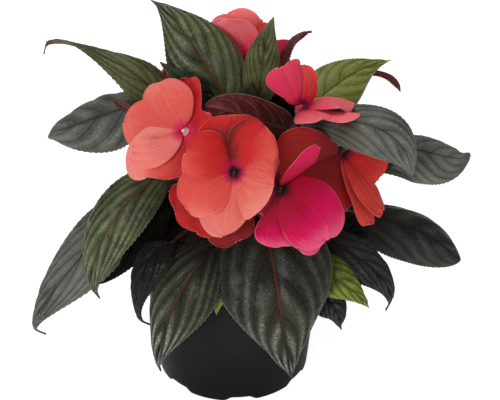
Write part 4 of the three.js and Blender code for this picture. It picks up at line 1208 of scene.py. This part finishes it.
def pot_plastic():
    """Black plastic with a faint haze and specks of dust, and painted shade at its foot and on its right."""
    pot = Material("pot_plastic")
    haze = pot.noise(30, 3)
    spot = pot.node("SeparateXYZ", Vector=pot.spot).outputs
    pot.paint(pot.ramp(haze, 0.35, 0.7), (25, 25, 27), (31, 31, 33))
    # Painted shade: darker towards the foot
    pot.tint(pot.ramp(spot["Z"], 0.06, 0, 0, 0.75), (9, 9, 10))
    # Painted shade: darker on the right side
    pot.tint(pot.ramp(spot["X"], 0, 0.05, 0, 0.6), (9, 9, 10))
    pot.tint(pot.ramp(pot.noise(220, 6), 0.66, 0.82, 0, 0.15), (64, 60, 56))
    normal = pot.bump(pot.noise(1600, 2), 0.03)
    return pot.finish(pot.spread(haze, 0.46, 0.56), Normal=normal, Specular_IOR_Level=0.05)


def soil_earth():
    soil = Material("soil_earth")
    lumps = soil.noise(260, 6)
    fibres = soil.noise(900, 4, distortion=1.5)
    soil.paint(soil.ramp(lumps, 0.35, 0.68), (30, 22, 16), (74, 56, 42))
    soil.tint(soil.ramp(fibres, 0.55, 0.75, 0, 0.6), (112, 88, 62))
    height = soil.plus(lumps, soil.times(fibres, 0.5))
    return soil.finish(soil.spread(lumps, 0.82, 0.97), Normal=soil.bump(height, 1.2))


def perlite():
    grain = Material("perlite")
    pits = grain.noise(1300, 4)
    grain.paint(grain.ramp(pits, 0.4, 0.7), (176, 170, 158), (226, 222, 212))
    return grain.finish(grain.spread(pits, 0.7, 0.9), Normal=grain.bump(pits, 0.4))


def floor_paper():
    """Pale paper that glows a little, so that it stays white to the horizon."""
    paper = Material("floor_paper")
    fleck = paper.noise(30, 3)
    paper.paint(paper.spread(fleck, 0, 1), (150, 150, 150), (158, 158, 158))
    return paper.finish(
        paper.spread(fleck, 0.8, 0.9),
        Specular_IOR_Level=0.1,
        Emission_Color=(1, 1, 1, 1),
        Emission_Strength=0.92,
    )


# Assembly


def make_stem(name, materials):
    """A stem with its leaves, their stalks and the stalks of the blooms that it carries."""
    slots = {look: slot for slot, look in enumerate(materials)}
    path = smooth_path(STEMS[name], STEM_STEPS)
    radius = THICK_STEM_RADIUS if name in THICK_STEMS else STEM_RADIUS
    skin = Skin()
    add_stem(skin, path, radius, slots["stem"])
    for leaf in LEAVES[name]:
        back = "wine_back" if leaf["look"] == "wine" else "green_back"
        add_leaf(skin, leaf, slots[leaf["look"]], slots[back])
        add_petiole(skin, path, leaf, slots["stem"])
    for bloom in BLOOMS:
        if bloom["stem"] == name:
            add_pedicel(skin, path, bloom, slots["stem"])
    skin.make(name + "_leafy", materials.values(), "foliage", name)


def make_bloom(bloom, materials):
    """A bloom's petals, with its calyx and column."""
    slots = {look: slot for slot, look in enumerate(materials)}
    skin = Skin()
    for index, petal in enumerate(PETALS.get(bloom["name"]) or open_petals(bloom)):
        add_petal(skin, bloom, petal, index, slots[petal.get("look", bloom["look"])])
    add_heart(skin, bloom, slots["calyx"], slots["column"])
    skin.make(bloom["name"] + "_petals", materials.values(), bloom["slot"], bloom["name"])


def make_plant():
    leafy = {look: leaf_top(look, *colours) for look, colours in LEAF_LOOKS.items()}
    leafy["green_back"] = leaf_back("green", (70, 54, 46), (96, 84, 62), (122, 70, 62))
    leafy["wine_back"] = leaf_back("wine", (78, 18, 20), (104, 32, 28), (136, 62, 54))
    leafy["stem"] = stem_skin()
    for name in STEMS:
        make_stem(name, leafy)
    petals = {look: petal_skin(look, *colours) for look, colours in PETAL_LOOKS.items()}
    petals["calyx"] = calyx_skin()
    columns = {
        "dark": column_skin("dark", (30, 12, 14), (62, 38, 32)),
        "pale": column_skin("pale", (190, 60, 96), (250, 216, 206)),
        "pink": column_skin("pink", (176, 34, 66), (196, 64, 88)),
    }
    for bloom in BLOOMS:
        make_bloom(bloom, {**petals, "column": columns[bloom.get("column", "dark")]})


def make_floor():
    bpy.ops.mesh.primitive_plane_add(size=FLOOR_SIZE)
    floor = bpy.context.object
    floor.name = "floor"
    floor.data.materials.append(floor_paper())


def add_softbox(name, place, size, watts):
    data = bpy.data.lights.new(name, "AREA")
    data.shape = "DISK"
    data.size = size
    data.energy = watts
    lamp = new_object(name, data)
    lamp.location = place
    direction = Vector(LAMPS_AIM) - Vector(place)
    lamp.rotation_euler = direction.to_track_quat("-Z", "Y").to_euler()


def light_studio():
    """Soft lamps round the plant, and a little light from all sides."""
    world = bpy.data.worlds.new("studio")
    bpy.context.scene.world = world
    world.use_nodes = True
    background = world.node_tree.nodes["Background"]
    background.inputs["Color"].default_value = (1, 1, 1, 1)
    background.inputs["Strength"].default_value = WORLD_STRENGTH
    for name, place, size, watts in LAMPS:
        add_softbox(name, place, size, watts)


def set_camera():
    data = bpy.data.cameras.new("camera")
    data.lens = CAMERA_LENS
    data.sensor_width = SENSOR_WIDTH
    camera = new_object("camera", data)
    angle = math.radians(CAMERA_ELEVATION)
    back = CAMERA_DISTANCE * array((0, -math.cos(angle), math.sin(angle)))
    camera.location = (array(AIM) + back) * MM
    camera.rotation_euler = (math.pi / 2 - angle, 0, 0)
    bpy.context.scene.camera = camera
    bpy.context.scene.view_settings.view_transform = "Standard"


set_camera()
make_pot()
make_soil()
make_plant()
make_floor()
light_studio()
